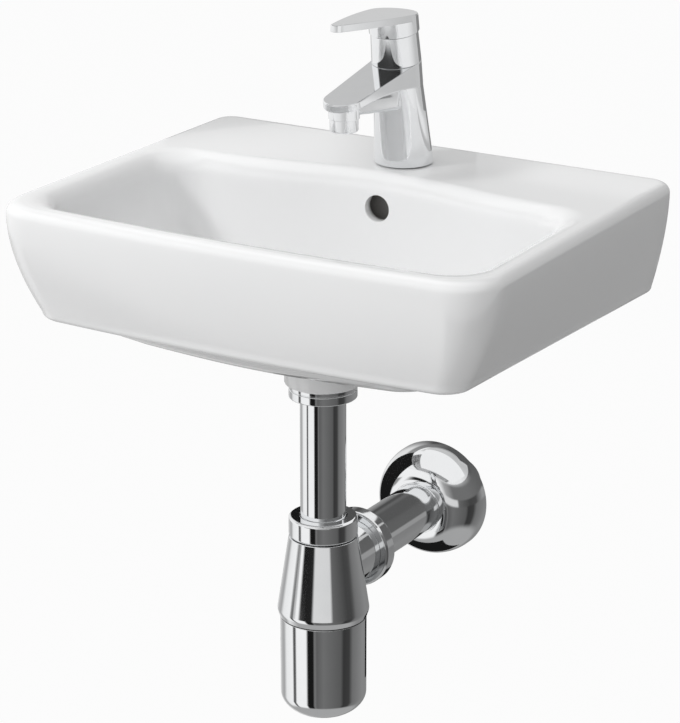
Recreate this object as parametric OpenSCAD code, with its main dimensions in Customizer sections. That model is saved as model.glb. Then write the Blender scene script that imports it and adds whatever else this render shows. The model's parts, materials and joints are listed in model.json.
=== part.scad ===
// Wall-hung washbasin with a single-lever tap and a chromed bottle trap.
// Millimetres. X runs along the wall, Y points into the wall and Z points up.
// The origin lies on the wall plane, midway between the two wall-fixing holes.

/* [Basin outline] */
// Width of the basin along the wall
basin_w = 450; // [420:1:500]
// Extra half width at the front corners
basin_flare = 4; // [0:0.5:8]
// Depth of the basin from the wall to the middle of its front
basin_d = 358; // [345:1:390]
// Height of the rim above the wall-fixing holes
rim_z = 65; // [60:1:80]
// Height of the apron, from the rim down to its lower edge
apron_h = 99; // [90:1:110]
// How far the front edge bows out between its corners
front_bow = 6; // [2:0.5:10]
// Corner radius in plan, at the front
front_corner_r = 38; // [30:1:50]
// Corner radius in plan at the front, at the apron's lower edge
low_corner_r = 22; // [16:1:38]
// Corner radius in plan, at the wall
back_corner_r = 12; // [8:1:20]
// Radius of the rounding outside the rim
rim_r = 9; // [6:0.5:10]
// How far the apron's sides draw in at their lower front
apron_in_front = 29; // [20:1:32]
// How far the apron's sides draw in at the wall
apron_in_back = 14; // [8:1:20]
// How far the apron's front draws in at its lower edge
apron_in_nose = 17; // [8:1:20]
// Thickness of the apron and the wall face
apron_t = 11; // [9:0.5:12]

/* [Bowl] */
// Width of the rim, from its outer edge to the steep wall of the bowl
rim_w = 31; // [26:1:36]
// Depth of the tap deck, from the wall to the rounding of the bowl
deck_d = 98; // [95:1:106]
// Width of the rounding between the deck and the bowl
deck_round = 12; // [8:1:16]
// Height of the rounding inside the rim
inner_round = 18; // [12:1:22]
// How much shallower the deck is in its middle than at its corners
deck_bow = 20; // [5:1:24]
// Depth of the bowl from the rim to the floor at the drain
bowl_d = 115; // [105:1:120]
// Fall of the bowl's floor towards the drain
floor_fall = 10; // [4:1:16]
// Corner radius of the bowl in plan
bowl_corner_r = 38; // [28:1:46]
// Thickness of the bowl
bowl_t = 9; // [8:0.5:11]
// Thickness of the deck under the tap
deck_t = 14; // [12:0.5:18]
// Distance of the drain from the wall
drain_y = 200; // [195:1:205]
// Radius of the drain hole
drain_r = 23; // [22.6:0.1:25]
// Height from the rim down to the lower end of the drain boss
boss_drop = 159; // [155:0.5:164]
// Radius of the drain boss
boss_r = 32.5; // [31:0.5:36]
// Radius of the overflow hole
overflow_r = 11.4; // [9:0.1:13]
// Height from the rim down to the middle of the overflow hole
overflow_drop = 30; // [28:1:34]
// Width of the overflow channel
channel_w = 44; // [30:1:48]
// Depth of the overflow channel
channel_d = 10; // [7:1:12]

/* [Wall fixing] */
// Distance between the two wall-fixing holes
fixing_pitch = 280; // [200:5:300]
// Radius of each wall-fixing hole
fixing_r = 8; // [6:0.5:9]

/* [Tap] */
// Distance of the tap's axis from the wall, at the deck
tap_y = 64; // [60:0.5:66]
// Radius of the tap hole in the deck
tap_hole_r = 17.5; // [16.5:0.5:18]
// Forward lean of the tap
tap_lean = 8.8; // [4:0.1:12]
// Radius of the tap's foot
foot_r = 25.8; // [24:0.1:28]
// Radius of the tap's body under the spout
shoulder_r = 20.8; // [20.4:0.1:21.4]
// Length of the body along its axis, to the flat top of the spout
body_h = 93; // [90:1:98]
// Radius of the sleeve over the cartridge
sleeve_r = 20.2; // [20:0.1:20.8]
// Radius of the lever's cap
cap_r = 21.4; // [21.4:0.1:24]
// Length along the axis to the top of the lever's cap
tap_h = 136.8; // [135.6:0.2:145]
// Reach of the aerator from the tap's axis at the deck
spout_reach = 101.5; // [90:0.5:115]
// Height of the aerator's mouth above the deck
mouth_h = 50; // [45:0.5:54]
// Half width of the spout at its rounded end
spout_half_w = 17; // [15:0.5:18]
// Thickness of the spout at its rounded end
spout_tip_t = 7; // [6:0.5:8]
// Thickness of the spout's collar at the back of the body
spout_back_t = 22; // [18:0.5:24]
// Reach of the lever's tip from its axis
lever_reach = 95; // [80:1:105]
// Rise of the lever from its cap to its tip
lever_rise = 22; // [10:1:24]
// Width of the lever just before its rounded tip
lever_w = 10; // [8:1:14]
// Thickness of the lever's blade
lever_t = 6; // [5:0.5:7]

/* [Cartridge] */
// Radius of the cartridge
cartridge_r = 14; // [14:0.1:14.6]
// Length of the cartridge's housing
cartridge_h = 25; // [24:0.5:26]
// Side of the square lever stem
stem_w = 6; // [5:0.1:6.4]
// Height of the stem's pin above the seat of the cartridge
pivot_h = 36; // [35:0.5:37]
// Radius of the stem's pin
pin_r = 1.5; // [1.2:0.1:1.8]
// Radius of the moving ceramic disc
disc_r = 8.8; // [8:0.1:9]

/* [Waste] */
// Radius of the waste flange in the bowl
flange_r = 32.5; // [31:0.5:34]
// Outside radius of the waste tail
tail_r = 22; // [21.5:0.1:22.2]
// Travel of the push-down plug
plug_travel = 8; // [5:0.5:9]
// Radius of the plug's cap
plug_r = 29; // [27:0.5:30]
// Outside radius of the chromed waste nut
waste_nut_r = 29; // [28.5:0.1:31]
// Height of the chromed waste nut
waste_nut_h = 11.5; // [11:0.5:14]

/* [Trap] */
// Outside radius of the upright tube
tube_r = 19.5; // [18.5:0.1:19.6]
// Wall of the tubes
tube_t = 1; // [0.8:0.1:1.5]
// Height from the rim down to the top of the trap's upper nut
trap_drop = 278; // [270:1:290]
// Outside radius of the trap's upper nut
trap_nut_r = 29.5; // [29:0.1:31]
// Height of the trap's upper nut
trap_nut_h = 18; // [17:0.5:20]
// Height of the trap's cone
cone_h = 66.5; // [66:0.5:72]
// Radius of the cone at its widest
cone_r = 39.5; // [39:0.5:42]
// Radius of the cup
cup_r = 37; // [36.5:0.1:38]
// Height of the cup's straight wall
cup_h = 70; // [60:1:85]
// Depth of the cup's rounded bottom
cup_dome = 22; // [16:1:28]
// How far the upright tube reaches below the outlet's axis
dip = 78; // [60:1:85]
// Travel of the cup when it is taken off for cleaning
cup_travel = 30; // [10:1:60]

/* [Outlet] */
// Height of the outlet's axis below the trap's upper nut
outlet_drop = 31; // [30:0.5:33]
// Outside radius of the outlet tube
outlet_r = 22.5; // [22:0.1:22.6]
// Outside radius of the outlet's nut
outlet_nut_r = 34.3; // [34:0.1:36]
// Length of the outlet's nut
outlet_nut_l = 15; // [14:0.5:18]
// Distance from the upright tube's axis to the outlet nut's near face
outlet_nut_reach = 50; // [49:0.5:54]
// Length of the outlet tube inside the wall
wall_spigot = 45; // [30:1:60]
// Outside radius of the wall flange
rosette_r = 51.5; // [46:0.5:54]
// Depth of the wall flange
rosette_d = 38; // [26:1:42]
// Travel of the wall flange along the outlet tube
rosette_travel = 60; // [20:1:80]

/* [Clearances] */
// Gap all round between a pin or tube and the hole that it runs in
run_gap = 0.05; // [0.03:0.01:0.08]
// Gap between screwed or loosely nested pieces
fit_gap = 0.3; // [0.2:0.05:0.4]

/* [Hidden] */
$fn = 72;
eps = 0.01;
// Long enough to cut right through any single piece
cut = basin_w;

// Heights on the drain's axis, measured from the origin
floor_z = rim_z - bowl_d;
boss_z = rim_z - boss_drop;
trap_z = rim_z - trap_drop;
outlet_z = trap_z - outlet_drop - trap_nut_h;

// One number between two others
function mix(a, b, t) = a + (b - a) * t;
// A number from 0 to 1 that starts and ends gently
function ease(t) = (1 - cos(180 * max(0, min(1, t)))) / 2;

// Where the points of a quarter outline fall, as shares of its straight runs
back_shares = [0, 0.13, 0.22, 0.3, 0.5, 0.75];
side_shares = [0, 0.15, 0.3, 0.45, 0.6, 0.8];
front_shares = [1, 0.8, 0.6, 0.4, 0.2, 0];
corner_steps = 7;

// Right half of a rounded outline seen from above, from the middle of its back to the middle of
// its front. w_b and w_f are half widths, y_b and y_f the distances from the wall, r_b and r_f
// the corner radii. bow_b and bow_f say how far the middles stand out beyond the corners.
function half_outline(w_b, w_f, y_b, y_f, r_b, r_f, bow_b, bow_f) =
  let (x_b = w_b - r_b, x_f = w_f - r_f, c_b = y_b + bow_b, c_f = y_f - bow_f)
  concat(
    [for (s = back_shares) [x_b * s, -(y_b + bow_b * ease(s))]],
    [for (i = [0:corner_steps - 1]) let (a = 90 * i / corner_steps)
      [x_b + r_b * sin(a), -(c_b + r_b * (1 - cos(a)))]],
    [for (s = side_shares) [mix(w_b, w_f, s), -mix(c_b + r_b, c_f - r_f, s)]],
    [for (i = [0:corner_steps - 1]) let (a = 90 * i / corner_steps)
      [x_f + r_f * cos(a), -(c_f - r_f * (1 - sin(a)))]],
    [for (s = front_shares) [x_f * s, -(y_f - bow_f * s * s)]]
  );

// The whole outline, with the left half as the mirror of the right half
function whole(half) = concat(half, [for (i = [len(half) - 2:-1:1]) [-half[i][0], half[i][1]]]);

// The outline of the rim and the apron, drawn in by its own distance at each edge
function outer(in_back, in_front, in_nose, in_wall, front_r = front_corner_r) = whole(half_outline(
  basin_w / 2 - in_back, basin_w / 2 + basin_flare - in_front, in_wall, basin_d - in_nose,
  back_corner_r, front_r, 0, front_bow));

// The outline of the bowl, grown by a distance all round
function bowl_outline(grow) = whole(half_outline(
  basin_w / 2 - rim_w + grow, basin_w / 2 + basin_flare - rim_w + grow,
  deck_d + deck_round - grow, basin_d - rim_w + grow,
  bowl_corner_r + grow, bowl_corner_r + grow, deck_bow, front_bow));

// The outline where the rim's crest begins, seen from the bowl
crest_in = rim_r + 3;
function crest_outline() = whole(half_outline(
  basin_w / 2 - crest_in, basin_w / 2 + basin_flare - crest_in, deck_d, basin_d - crest_in,
  bowl_corner_r, front_corner_r, deck_bow, front_bow));

drain = [0, -drain_y];
function circle_like(outline, r) =
  [for (p = outline) let (d = p - drain) drain + r * d / norm(d)];
function blend(a, b, t) = [for (i = [0:len(a) - 1]) mix(a[i], b[i], t)];
function at_z(outline, z) = [for (p = outline) [p[0], p[1], z]];

// Height of the bowl's surface for a share of the way from the drain to the steep wall
wall_share = 0.55;
wall_top = rim_z - inner_round;
function bowl_z(s) =
  let (q = max(0, (s - wall_share) / (1 - wall_share)), knee = floor_z + floor_fall)
  floor_z + floor_fall * s + (wall_top - knee) * (1 - sqrt(max(0, 1 - q * q)));

// Shares of the way at which the bowl has its rings, close together in the steep wall
bowl_shares = concat([0.2, 0.4], [for (a = [0:10:90]) wall_share + (1 - wall_share) * sin(a)]);
under_shares = [1, 0.97, 0.92, 0.82, 0.68, 0.5, 0.2];
under_t = bowl_t + 2;
recess_r = flange_r + 1;

// The apron's outline for a share of the way down, and its height there
apron_steps = 6;
apron_curve = 1.7;
lip_r = 6;
apron_low = rim_z - apron_h;
function apron(t, inset, wall_inset) =
  let (s = pow(t, apron_curve))
  outer(apron_in_back * s + inset, apron_in_front * s + inset, apron_in_nose * s + inset,
    wall_inset, mix(front_corner_r, low_corner_r, t));
function apron_z(t) = mix(rim_z - rim_r, apron_low + lip_r, t);

// The hollow under the basin is higher below the deck than below the rim
hollow_z = rim_z - inner_round - under_t;
back_points = len(back_shares);
function deck_share(i, n) =
  let (k = min(i, n - i)) ease(1 - (k - back_points) / corner_steps);
function hollow_top(outline) =
  let (n = len(outline))
  [for (i = [0:n - 1]) [outline[i][0], outline[i][1],
    mix(hollow_z, rim_z - deck_t, deck_share(i, n))]];

bowl_edge = bowl_outline(0);
bowl_back = bowl_outline(bowl_t);
bore_start_r = drain_r - 3;

// The basin's skin as one chain of rings: bowl, rim, apron, hollow and drain boss
basin_rings = concat(
  [at_z(circle_like(bowl_edge, bore_start_r), floor_z)],
  [at_z(circle_like(bowl_edge, recess_r + 1), floor_z)],
  [for (s = bowl_shares) at_z(blend(circle_like(bowl_edge, recess_r + 1), bowl_edge, s), bowl_z(s))],
  [for (a = [22.5:22.5:90])
    at_z(blend(bowl_edge, crest_outline(), 1 - cos(a)), wall_top + inner_round * sin(a))],
  [for (a = [0:22.5:90])
    at_z(outer(rim_r * (1 - sin(a)), rim_r * (1 - sin(a)), rim_r * (1 - sin(a)),
      rim_r / 2 * (1 - sin(a))), rim_z - rim_r * (1 - cos(a)))],
  [for (i = [1:apron_steps]) at_z(apron(i / apron_steps, 0, 0), apron_z(i / apron_steps))],
  [at_z(apron(1, lip_r * (1 - cos(45)), 0.3), apron_low + lip_r * (1 - sin(45)))],
  [at_z(apron(1, lip_r, 1), apron_low)],
  [at_z(apron(1, apron_t - 1, apron_t - 1), apron_low)],
  [at_z(apron(1, apron_t, apron_t), apron_low + 1)],
  [for (t = [1, 0.75, 0.4]) at_z(apron(t, apron_t, apron_t), apron_z(t))],
  [hollow_top(apron(0.1, apron_t, apron_t))],
  [hollow_top(bowl_back)],
  [for (s = under_shares)
    at_z(blend(circle_like(bowl_back, boss_r + 12), bowl_back, s), bowl_z(s) - under_t - 0.5)],
  [at_z(circle_like(bowl_back, boss_r + 8), floor_z - under_t - 1)],
  [at_z(circle_like(bowl_back, boss_r + 1), floor_z - under_t - 8)],
  [at_z(circle_like(bowl_back, boss_r), boss_z)],
  [at_z(circle_like(bowl_back, bore_start_r), boss_z)]
);

// A closed ring of rings as one solid
module ring_solid(rings) {
  m = len(rings);
  n = len(rings[0]);
  points = [for (r = rings) each r];
  faces = [for (j = [0:m - 1], i = [0:n - 1], h = [0, 1])
    let (a = j * n + i, b = j * n + (i + 1) % n, c = ((j + 1) % m) * n + i,
      d = ((j + 1) % m) * n + (i + 1) % n)
    h == 0 ? [a, d, b] : [a, c, d]];
  polyhedron(points, faces, convexity = 10);
}

// Places its children on the drain's axis
module at_drain(z = 0) {
  translate([0, -drain_y, z]) children();
}

// A flat ring or tube standing on its lower end
module tube(r_out, r_in, h) {
  difference() {
    cylinder(r = r_out, h = h);
    translate([0, 0, -1]) cylinder(r = r_in, h = h + 2);
  }
}

// A profile drawn in Y and Z, given a width along X
module across(w) {
  translate([-w / 2, 0, 0]) rotate([90, 0, 90]) linear_extrude(height = w) children();
}

// The overflow channel runs down behind the bowl and forward into the drain boss
wall_skin = 8;
channel_y = deck_d + deck_round - wall_skin;
channel_top = rim_z - overflow_drop + overflow_r + 3;
channel_floor = boss_z + 8;
channel_roof = floor_z - 15;
duct_skin = 6;
duct_w = channel_w + 2 * duct_skin;

module overflow_duct() {
  back = channel_y - channel_d - duct_skin;
  across(duct_w) polygon([
    [-channel_y - 4, rim_z - deck_t + 3], [-back, rim_z - deck_t + 3],
    [-back, channel_roof + 2], [-back - 30, channel_floor - duct_skin],
    [-drain_y + drain_r, channel_floor - duct_skin], [-drain_y + drain_r, floor_z - 5],
    [-channel_y - 22, floor_z - 5], [-channel_y - 4, floor_z + 30]
  ]);
}

module overflow_channel() {
  back = channel_y - channel_d;
  across(channel_w) polygon([
    [-channel_y, channel_top], [-back, channel_top],
    [-back, channel_roof + 4], [-back - 28, channel_floor],
    [-drain_y + drain_r - 2, channel_floor], [-drain_y + drain_r - 2, channel_roof],
    [-channel_y - 20, channel_roof], [-channel_y, floor_z + 22]
  ]);
}

module basin() {
  color("white") difference() {
    union() {
      ring_solid(basin_rings);
      overflow_duct();
    }
    overflow_channel();
    at_drain(boss_z - 10) cylinder(r = drain_r, h = boss_drop);
    at_drain(floor_z - 3) cylinder(r = recess_r, h = 3 + eps);
    translate([0, -channel_y + 1, rim_z - overflow_drop]) rotate([90, 0, 0])
      cylinder(r = overflow_r, h = wall_skin + 30);
    translate([0, -tap_y, rim_z - deck_t - 5]) cylinder(r = tap_hole_r, h = deck_t + 20);
    for (side = [-1, 1])
      translate([side * fixing_pitch / 2, 5, 0]) rotate([90, 0, 0])
        cylinder(r = fixing_r, h = apron_t + 20);
  }
}

// Places its children in the tap's leaning frame, with Z along its axis from the deck up
module lean(s = 0) {
  translate([0, -tap_y, rim_z]) rotate([tap_lean, 0, 0]) translate([0, 0, s]) children();
}

// A round rod from one point to another
module rod(p, q, r) {
  d = q - p;
  translate(p) rotate([0, acos(d[2] / norm(d)), atan2(d[1], d[0])]) cylinder(r = r, h = norm(d));
}

// Distances along the tap's axis
seat_s = body_h - 22;
housing_s = seat_s + 0.5;
housing_top = housing_s + cartridge_h;
neck_top = housing_top + 6;
pivot_s = seat_s + pivot_h;
ceiling_s = tap_h - 8.6;

// Radii about the tap's axis
neck_r = cartridge_r + 4.5;
nut_r = cartridge_r + 1.6;
skirt_r = sleeve_r + 0.2;
opening_r = 13;
crown_r = 8.2;

// The lever's cap lifts by this angle, and the sleeve is cut low enough to let it
tilt_max = 20;
function under_cap(r) = pivot_s + (ceiling_s - pivot_s) * cos(tilt_max) - r * sin(tilt_max) - 0.5;
sleeve_edge = under_cap(sleeve_r);
opening_s = under_cap(opening_r);
skirt_s = sleeve_edge + 0.6;

// Foot, inlets and stud
foot_gap = 0.8;
foot_hollow_r = tap_hole_r + 0.5;
foot_hollow_h = 28;
seal_r = foot_r - 4;
seal_w = 3;
seal_h = 2.4;
stud_r = 4;
stud_y = 12;
stud_grip = 10;
stud_drop = 50;
thread_r = 4.5;
thread_l = 12;
inlet_spread = 8.5;
inlet_y = 3;
clamp_z = rim_z - deck_t;
gasket_t = 2;
clamp_t = 2.5;
clamp_r = 20.5;
clamp_gap_w = 29;
tap_nut_r = 7;
tap_nut_h = 12;

// The aerator hangs straight down from the end of the spout
aerator_y = tap_y + spout_reach;
aerator_r = 12;
aerator_h = 11;
mouth_z = rim_z + mouth_h;
aerator_neck_r = 10.4;
aerator_neck_h = 7;

// The spout's flat top stands square to the leaning axis
collar_out_r = sleeve_r + 1;
spout_end_f = (spout_reach - (body_h - spout_tip_t) * sin(tap_lean)) / cos(tap_lean);
spout_under_z = rim_z + (body_h - spout_tip_t) * cos(tap_lean) - spout_end_f * sin(tap_lean);

// Water ways through the tap
way_r = 3;
way_spread = 7;
way_back = 3;
outlet_way = 7.5;

// The spout's slab, from the collar round the body to its rounded end, thinner towards the end
module spout_slab() {
  curve = [for (t = [0:0.125:1]) [-(spout_end_f + 4) * t,
    -spout_tip_t - (spout_back_t - spout_tip_t) * pow(1 - t, 2)]];
  far = -spout_end_f - 2 * spout_half_w;
  lean(body_h) difference() {
    translate([0, 0, -spout_back_t]) hull() {
      cylinder(r = collar_out_r, h = spout_back_t, $fn = 64);
      translate([0, -spout_end_f, 0]) cylinder(r = spout_half_w, h = spout_back_t, $fn = 64);
    }
    across(4 * foot_r) polygon(concat(curve,
      [[far, -spout_tip_t], [far, -2 * spout_back_t], [0, -2 * spout_back_t]]));
  }
}

module tap_shell() {
  lean(-8) cylinder(r1 = foot_r, r2 = shoulder_r, h = body_h - spout_back_t + 12);
  lean(body_h - 2) cylinder(r = neck_r, h = neck_top - body_h + 2);
  spout_slab();
  translate([0, -aerator_y, mouth_z + aerator_h])
    cylinder(r = aerator_r + 1, h = spout_under_z - mouth_z - aerator_h + 3);
  // The water way's slimmer keel under the spout
  hull() {
    lean(seat_s - 17) translate([0, -8, 0]) cylinder(r = aerator_r, h = body_h - seat_s + 8, $fn = 32);
    translate([0, -aerator_y, mouth_z + aerator_h + 4])
      cylinder(r = aerator_r, h = spout_under_z - mouth_z - aerator_h - 2, $fn = 32);
  }
}

module tap_body() {
  color("silver") difference() {
    tap_shell();
    // Everything below the deck
    translate([0, -tap_y, rim_z + foot_gap - foot_hollow_h]) cylinder(r = 2 * foot_r, h = foot_hollow_h);
    // Groove for the base seal
    translate([0, -tap_y, rim_z - 1]) tube(seal_r + fit_gap, seal_r - seal_w - fit_gap, seal_h + 1);
    // Hollow foot
    translate([0, -tap_y, rim_z - 1]) cylinder(r = foot_hollow_r, h = foot_hollow_h + 1);
    // Threaded hole for the fixing stud
    translate([0, -tap_y + stud_y, rim_z]) cylinder(r = stud_r, h = foot_hollow_h + stud_grip);
    // Threaded inlets, and the ways from them to the cartridge
    for (side = [-1, 1]) {
      translate([side * inlet_spread, -tap_y - inlet_y, rim_z])
        cylinder(r = thread_r, h = foot_hollow_h + thread_l);
      translate([side * inlet_spread, -tap_y - inlet_y, rim_z + foot_hollow_h])
        cylinder(r = way_r, h = seat_s - foot_hollow_h - 6);
      lean(seat_s - 20) translate([side * way_spread, way_back, 0]) cylinder(r = way_r, h = 22);
    }
    // Cartridge chamber and the nut's thread
    lean(seat_s) cylinder(r = cartridge_r + run_gap, h = tap_h);
    lean(housing_top) cylinder(r = nut_r + run_gap, h = tap_h);
    // Mixed water runs down from the seat and forward along the spout
    lean(seat_s - 12) translate([0, -outlet_way, 0]) cylinder(r = way_r, h = 14);
    rod([0, -tap_y - 16, rim_z + seat_s - 11], [0, -aerator_y, mouth_z + aerator_h + 11], way_r);
    // Seat and thread for the aerator, and the chamber above it
    translate([0, -aerator_y, mouth_z - 1]) cylinder(r = aerator_r + fit_gap, h = aerator_h + 1);
    translate([0, -aerator_y, mouth_z])
      cylinder(r = aerator_neck_r + run_gap, h = aerator_h + aerator_neck_h + 0.5);
    translate([0, -aerator_y, mouth_z + aerator_h]) cylinder(r = 7, h = aerator_neck_h + 3);
  }
}

module tap_base_seal() {
  color("black") translate([0, -tap_y, rim_z])
    tube(seal_r, seal_r - seal_w, seal_h);
}

module tap_stud() {
  color("gold") translate([0, -tap_y + stud_y, clamp_z - stud_drop])
    cylinder(r = stud_r, h = rim_z + foot_hollow_h + stud_grip - clamp_z + stud_drop);
}

// A plate that straddles the two hoses and hangs on the stud
module horseshoe(t) {
  difference() {
    cylinder(r = clamp_r, h = t);
    translate([-clamp_gap_w / 2, -clamp_r - 5, -1]) cube([clamp_gap_w, clamp_r + 10, t + 2]);
    translate([0, stud_y, -1]) cylinder(r = stud_r + run_gap, h = t + 2);
  }
}

module tap_gasket() {
  color("black") translate([0, -tap_y, clamp_z - gasket_t]) horseshoe(gasket_t);
}

module tap_clamp() {
  color("gray") translate([0, -tap_y, clamp_z - gasket_t - clamp_t]) horseshoe(clamp_t);
}

module tap_nut() {
  color("gold") translate([0, -tap_y + stud_y, clamp_z - gasket_t - clamp_t - tap_nut_h])
    difference() {
      cylinder(r = tap_nut_r, h = tap_nut_h, $fn = 6);
      translate([0, 0, -1]) cylinder(r = stud_r + run_gap, h = tap_nut_h + 2);
    }
}

insert_r = 8.5;
insert_h = 9;
ledge = 1.2;

module aerator_housing() {
  color("silver") translate([0, -aerator_y, mouth_z]) difference() {
    union() {
      cylinder(r = aerator_r, h = aerator_h);
      cylinder(r = aerator_neck_r, h = aerator_h + aerator_neck_h - 1);
    }
    translate([0, 0, -1]) cylinder(r = insert_r - 1, h = cut);
    translate([0, 0, ledge]) cylinder(r = insert_r + run_gap, h = cut);
  }
}

module aerator_insert() {
  color("gray") translate([0, -aerator_y, mouth_z + ledge]) difference() {
    cylinder(r = insert_r, h = insert_h);
    translate([0, 0, 2]) cylinder(r = insert_r - 1.2, h = insert_h);
    for (a = [0:45:315], r = [2.6, 5]) rotate([0, 0, a + r]) translate([r, 0, -1])
      cylinder(r = 0.7, h = 5, $fn = 16);
  }
}

module aerator_seal() {
  color("black") translate([0, -aerator_y, mouth_z + aerator_h + aerator_neck_h - 1])
    tube(aerator_neck_r - 0.4, insert_r - 1, 1.5);
}

way_seal_r = way_r + 1.5;
disc_t = 4;
floor_t = 2;
disc_s = housing_s + floor_t;
moving_s = disc_s + disc_t;
driver_h = 7;
driver_r = 5.2;
ball_r = 3;
ball_s = moving_s + disc_t + driver_h - 2.5;
ball_drop = pivot_s - ball_s;
disc_stroke = ball_drop * sin(tilt_max);
housing_bore = cartridge_r - 1.2;
flange_s = moving_s + disc_t + driver_h + 0.5;
flange_t = 3;

// The places of the two inlets and the outlet on the cartridge's seat
module at_ways() {
  for (side = [-1, 1]) translate([side * way_spread, way_back, 0]) children();
  translate([0, -outlet_way, 0]) children();
}

module cartridge_seals() {
  color("black") lean(seat_s) at_ways() tube(way_seal_r, way_r, disc_s - seat_s);
}

module cartridge_housing() {
  color("ivory") lean(housing_s) difference() {
    cylinder(r = cartridge_r, h = cartridge_h);
    translate([0, 0, -1]) at_ways() cylinder(r = way_seal_r + run_gap, h = floor_t + 2);
    translate([0, 0, floor_t])
      cylinder(r = housing_bore, h = flange_s + flange_t - housing_s - floor_t + run_gap);
    translate([0, 0, floor_t]) cylinder(r = crown_r + run_gap, h = cartridge_h);
  }
}

module disc_fixed() {
  color("lightgray") lean(disc_s) difference() {
    cylinder(r = housing_bore - run_gap, h = disc_t);
    translate([0, 0, -1]) at_ways() cylinder(r = way_r - 0.4, h = disc_t + 2);
  }
}

// The moving disc slides forward as the lever lifts
module disc_moving() {
  color("lightgray") lean(moving_s) translate([0, disc_stroke / 2, 0]) difference() {
    union() {
      cylinder(r = disc_r, h = disc_t);
      translate([0, -disc_stroke / 2, 0]) cylinder(r = driver_r, h = disc_t + driver_h);
    }
    translate([0, -disc_stroke / 2, disc_t + 1]) cylinder(r = ball_r + 0.3, h = driver_h + 1);
    translate([0, 0, -1]) cylinder(r = 3, h = 3);
  }
}

module cartridge_carrier() {
  color("ivory") lean(flange_s) difference() {
    union() {
      cylinder(r = housing_bore - run_gap, h = flange_t);
      cylinder(r = crown_r, h = pivot_s + 4 - flange_s);
    }
    translate([-stem_w / 2 - 0.3, -crown_r - 3, -1])
      cube([stem_w + 0.6, crown_r + 6.5, cut]);
    translate([-stem_w / 2 - 0.3, -crown_r - 3, flange_t]) cube([stem_w + 0.6, cut, cut]);
    translate([-cut / 2, 0, pivot_s - flange_s]) rotate([0, 90, 0]) cylinder(r = pin_r, h = cut);
  }
}

module cartridge_pin() {
  color("gray") lean(pivot_s) translate([-crown_r + 0.5, 0, 0]) rotate([0, 90, 0])
    cylinder(r = pin_r, h = 2 * crown_r - 1);
}

module cartridge_nut() {
  color("gold") lean(housing_top) tube(nut_r, crown_r + 0.4, neck_top - housing_top);
}

module cartridge_sleeve() {
  color("silver") lean(body_h) difference() {
    union() {
      cylinder(r1 = collar_out_r, r2 = sleeve_r, h = sleeve_edge - body_h);
      translate([0, 0, sleeve_edge - body_h - eps])
        cylinder(r1 = sleeve_r, r2 = opening_r, h = opening_s - sleeve_edge);
    }
    translate([0, 0, -1]) cylinder(r = neck_r + run_gap, h = sleeve_edge - body_h - 2);
    translate([0, 0, sleeve_edge - body_h - 3 - eps])
      cylinder(r1 = neck_r + run_gap, r2 = opening_r - 1, h = opening_s - sleeve_edge + 0.5);
    cylinder(r = opening_r - 1, h = cut);
  }
}

stem_top = ceiling_s - 2;
ball_neck = 12;
boss_r2 = 5.8;
boss_low = pivot_s + 8.5;

module lever_stem() {
  color("gray") lean(ball_s) difference() {
    union() {
      sphere(r = ball_r);
      cylinder(r = ball_r - 0.6, h = ball_neck);
      translate([-stem_w / 2, -stem_w / 2, ball_neck - 1])
        cube([stem_w, stem_w, stem_top - ball_s - ball_neck + 1]);
    }
    translate([-cut / 2, 0, ball_drop]) rotate([0, 90, 0]) cylinder(r = pin_r + run_gap, h = cut);
  }
}

// The top of the cap slopes up towards the lever's tip
lever_slope = atan(lever_rise / lever_reach);
lever_end = lever_reach / cos(lever_slope) - lever_w / 2;
module lever_top() {
  lean(tap_h) rotate([-lever_slope, 0, 0]) children();
}

screw_s = ceiling_s - 1.8;
screw_r = 2.2;
screw_l = 7;
screw_seat_r = 3.9;
plug_hole_r = 3.1;
plug_hole_y = cap_r - 6;

// The lever's outline from above, a leaf that narrows from the cap to its tip
module leaf() {
  side = [for (t = [0:0.1:1]) [mix(cap_r - 0.4, lever_w / 2, pow(t, 1.6)), -lever_end * t]];
  circle(r = cap_r - 0.4);
  polygon(concat(side, [for (i = [len(side) - 1:-1:0]) [-side[i][0], side[i][1]]]));
  translate([0, -lever_end]) circle(r = lever_w / 2, $fn = 40);
}

module lever_blank() {
  difference() {
    lean(skirt_s) cylinder(r1 = cap_r, r2 = cap_r - 0.4, h = 2 * (tap_h - skirt_s));
    lever_top() translate([-cut / 2, -cut / 2, 0]) cube(cut);
  }
  lever_top() translate([0, 0, -lever_t]) linear_extrude(height = lever_t) leaf();
}

module lever_handle() {
  color("silver") difference() {
    union() {
      difference() {
        lever_blank();
        lean(skirt_s - 1) cylinder(r = skirt_r, h = ceiling_s - skirt_s + 1);
      }
      lean(boss_low) cylinder(r = boss_r2, h = ceiling_s - boss_low + 1);
      // Seat for the grub screw, at the front
      lean(screw_s) rotate([90, 0, 0]) cylinder(r = screw_seat_r, h = cap_r - 1);
    }
    lean(pivot_s) translate([-stem_w / 2, -stem_w / 2, 0]) cube([stem_w, stem_w, stem_top - pivot_s]);
    lean(screw_s) rotate([90, 0, 0]) cylinder(r = screw_r, h = cap_r + 5);
    lean(screw_s) rotate([90, 0, 0]) translate([0, 0, plug_hole_y]) cylinder(r = plug_hole_r, h = cap_r);
  }
}

module lever_screw() {
  color("gray") lean(screw_s) rotate([90, 0, 0]) translate([0, 0, stem_w / 2])
    cylinder(r = screw_r, h = screw_l);
}

module lever_plug() {
  color("gray") lean(screw_s) rotate([90, 0, 0]) translate([0, 0, plug_hole_y])
    cylinder(r = plug_hole_r, h = cap_r - plug_hole_y - 0.5);
}

// Waste in the bowl
seat_z = floor_z - 3;
top_seal_t = 1.2;
flange_t2 = 2;
tail_in = tube_r + 0.2;
tail_low = boss_z - 8;
slot_low = floor_z - 34;
slot_h = 14;
guide_z = slot_low + slot_h + 1;
plug_rest = seat_z + top_seal_t + flange_t2 + fit_gap + plug_travel;

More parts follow.
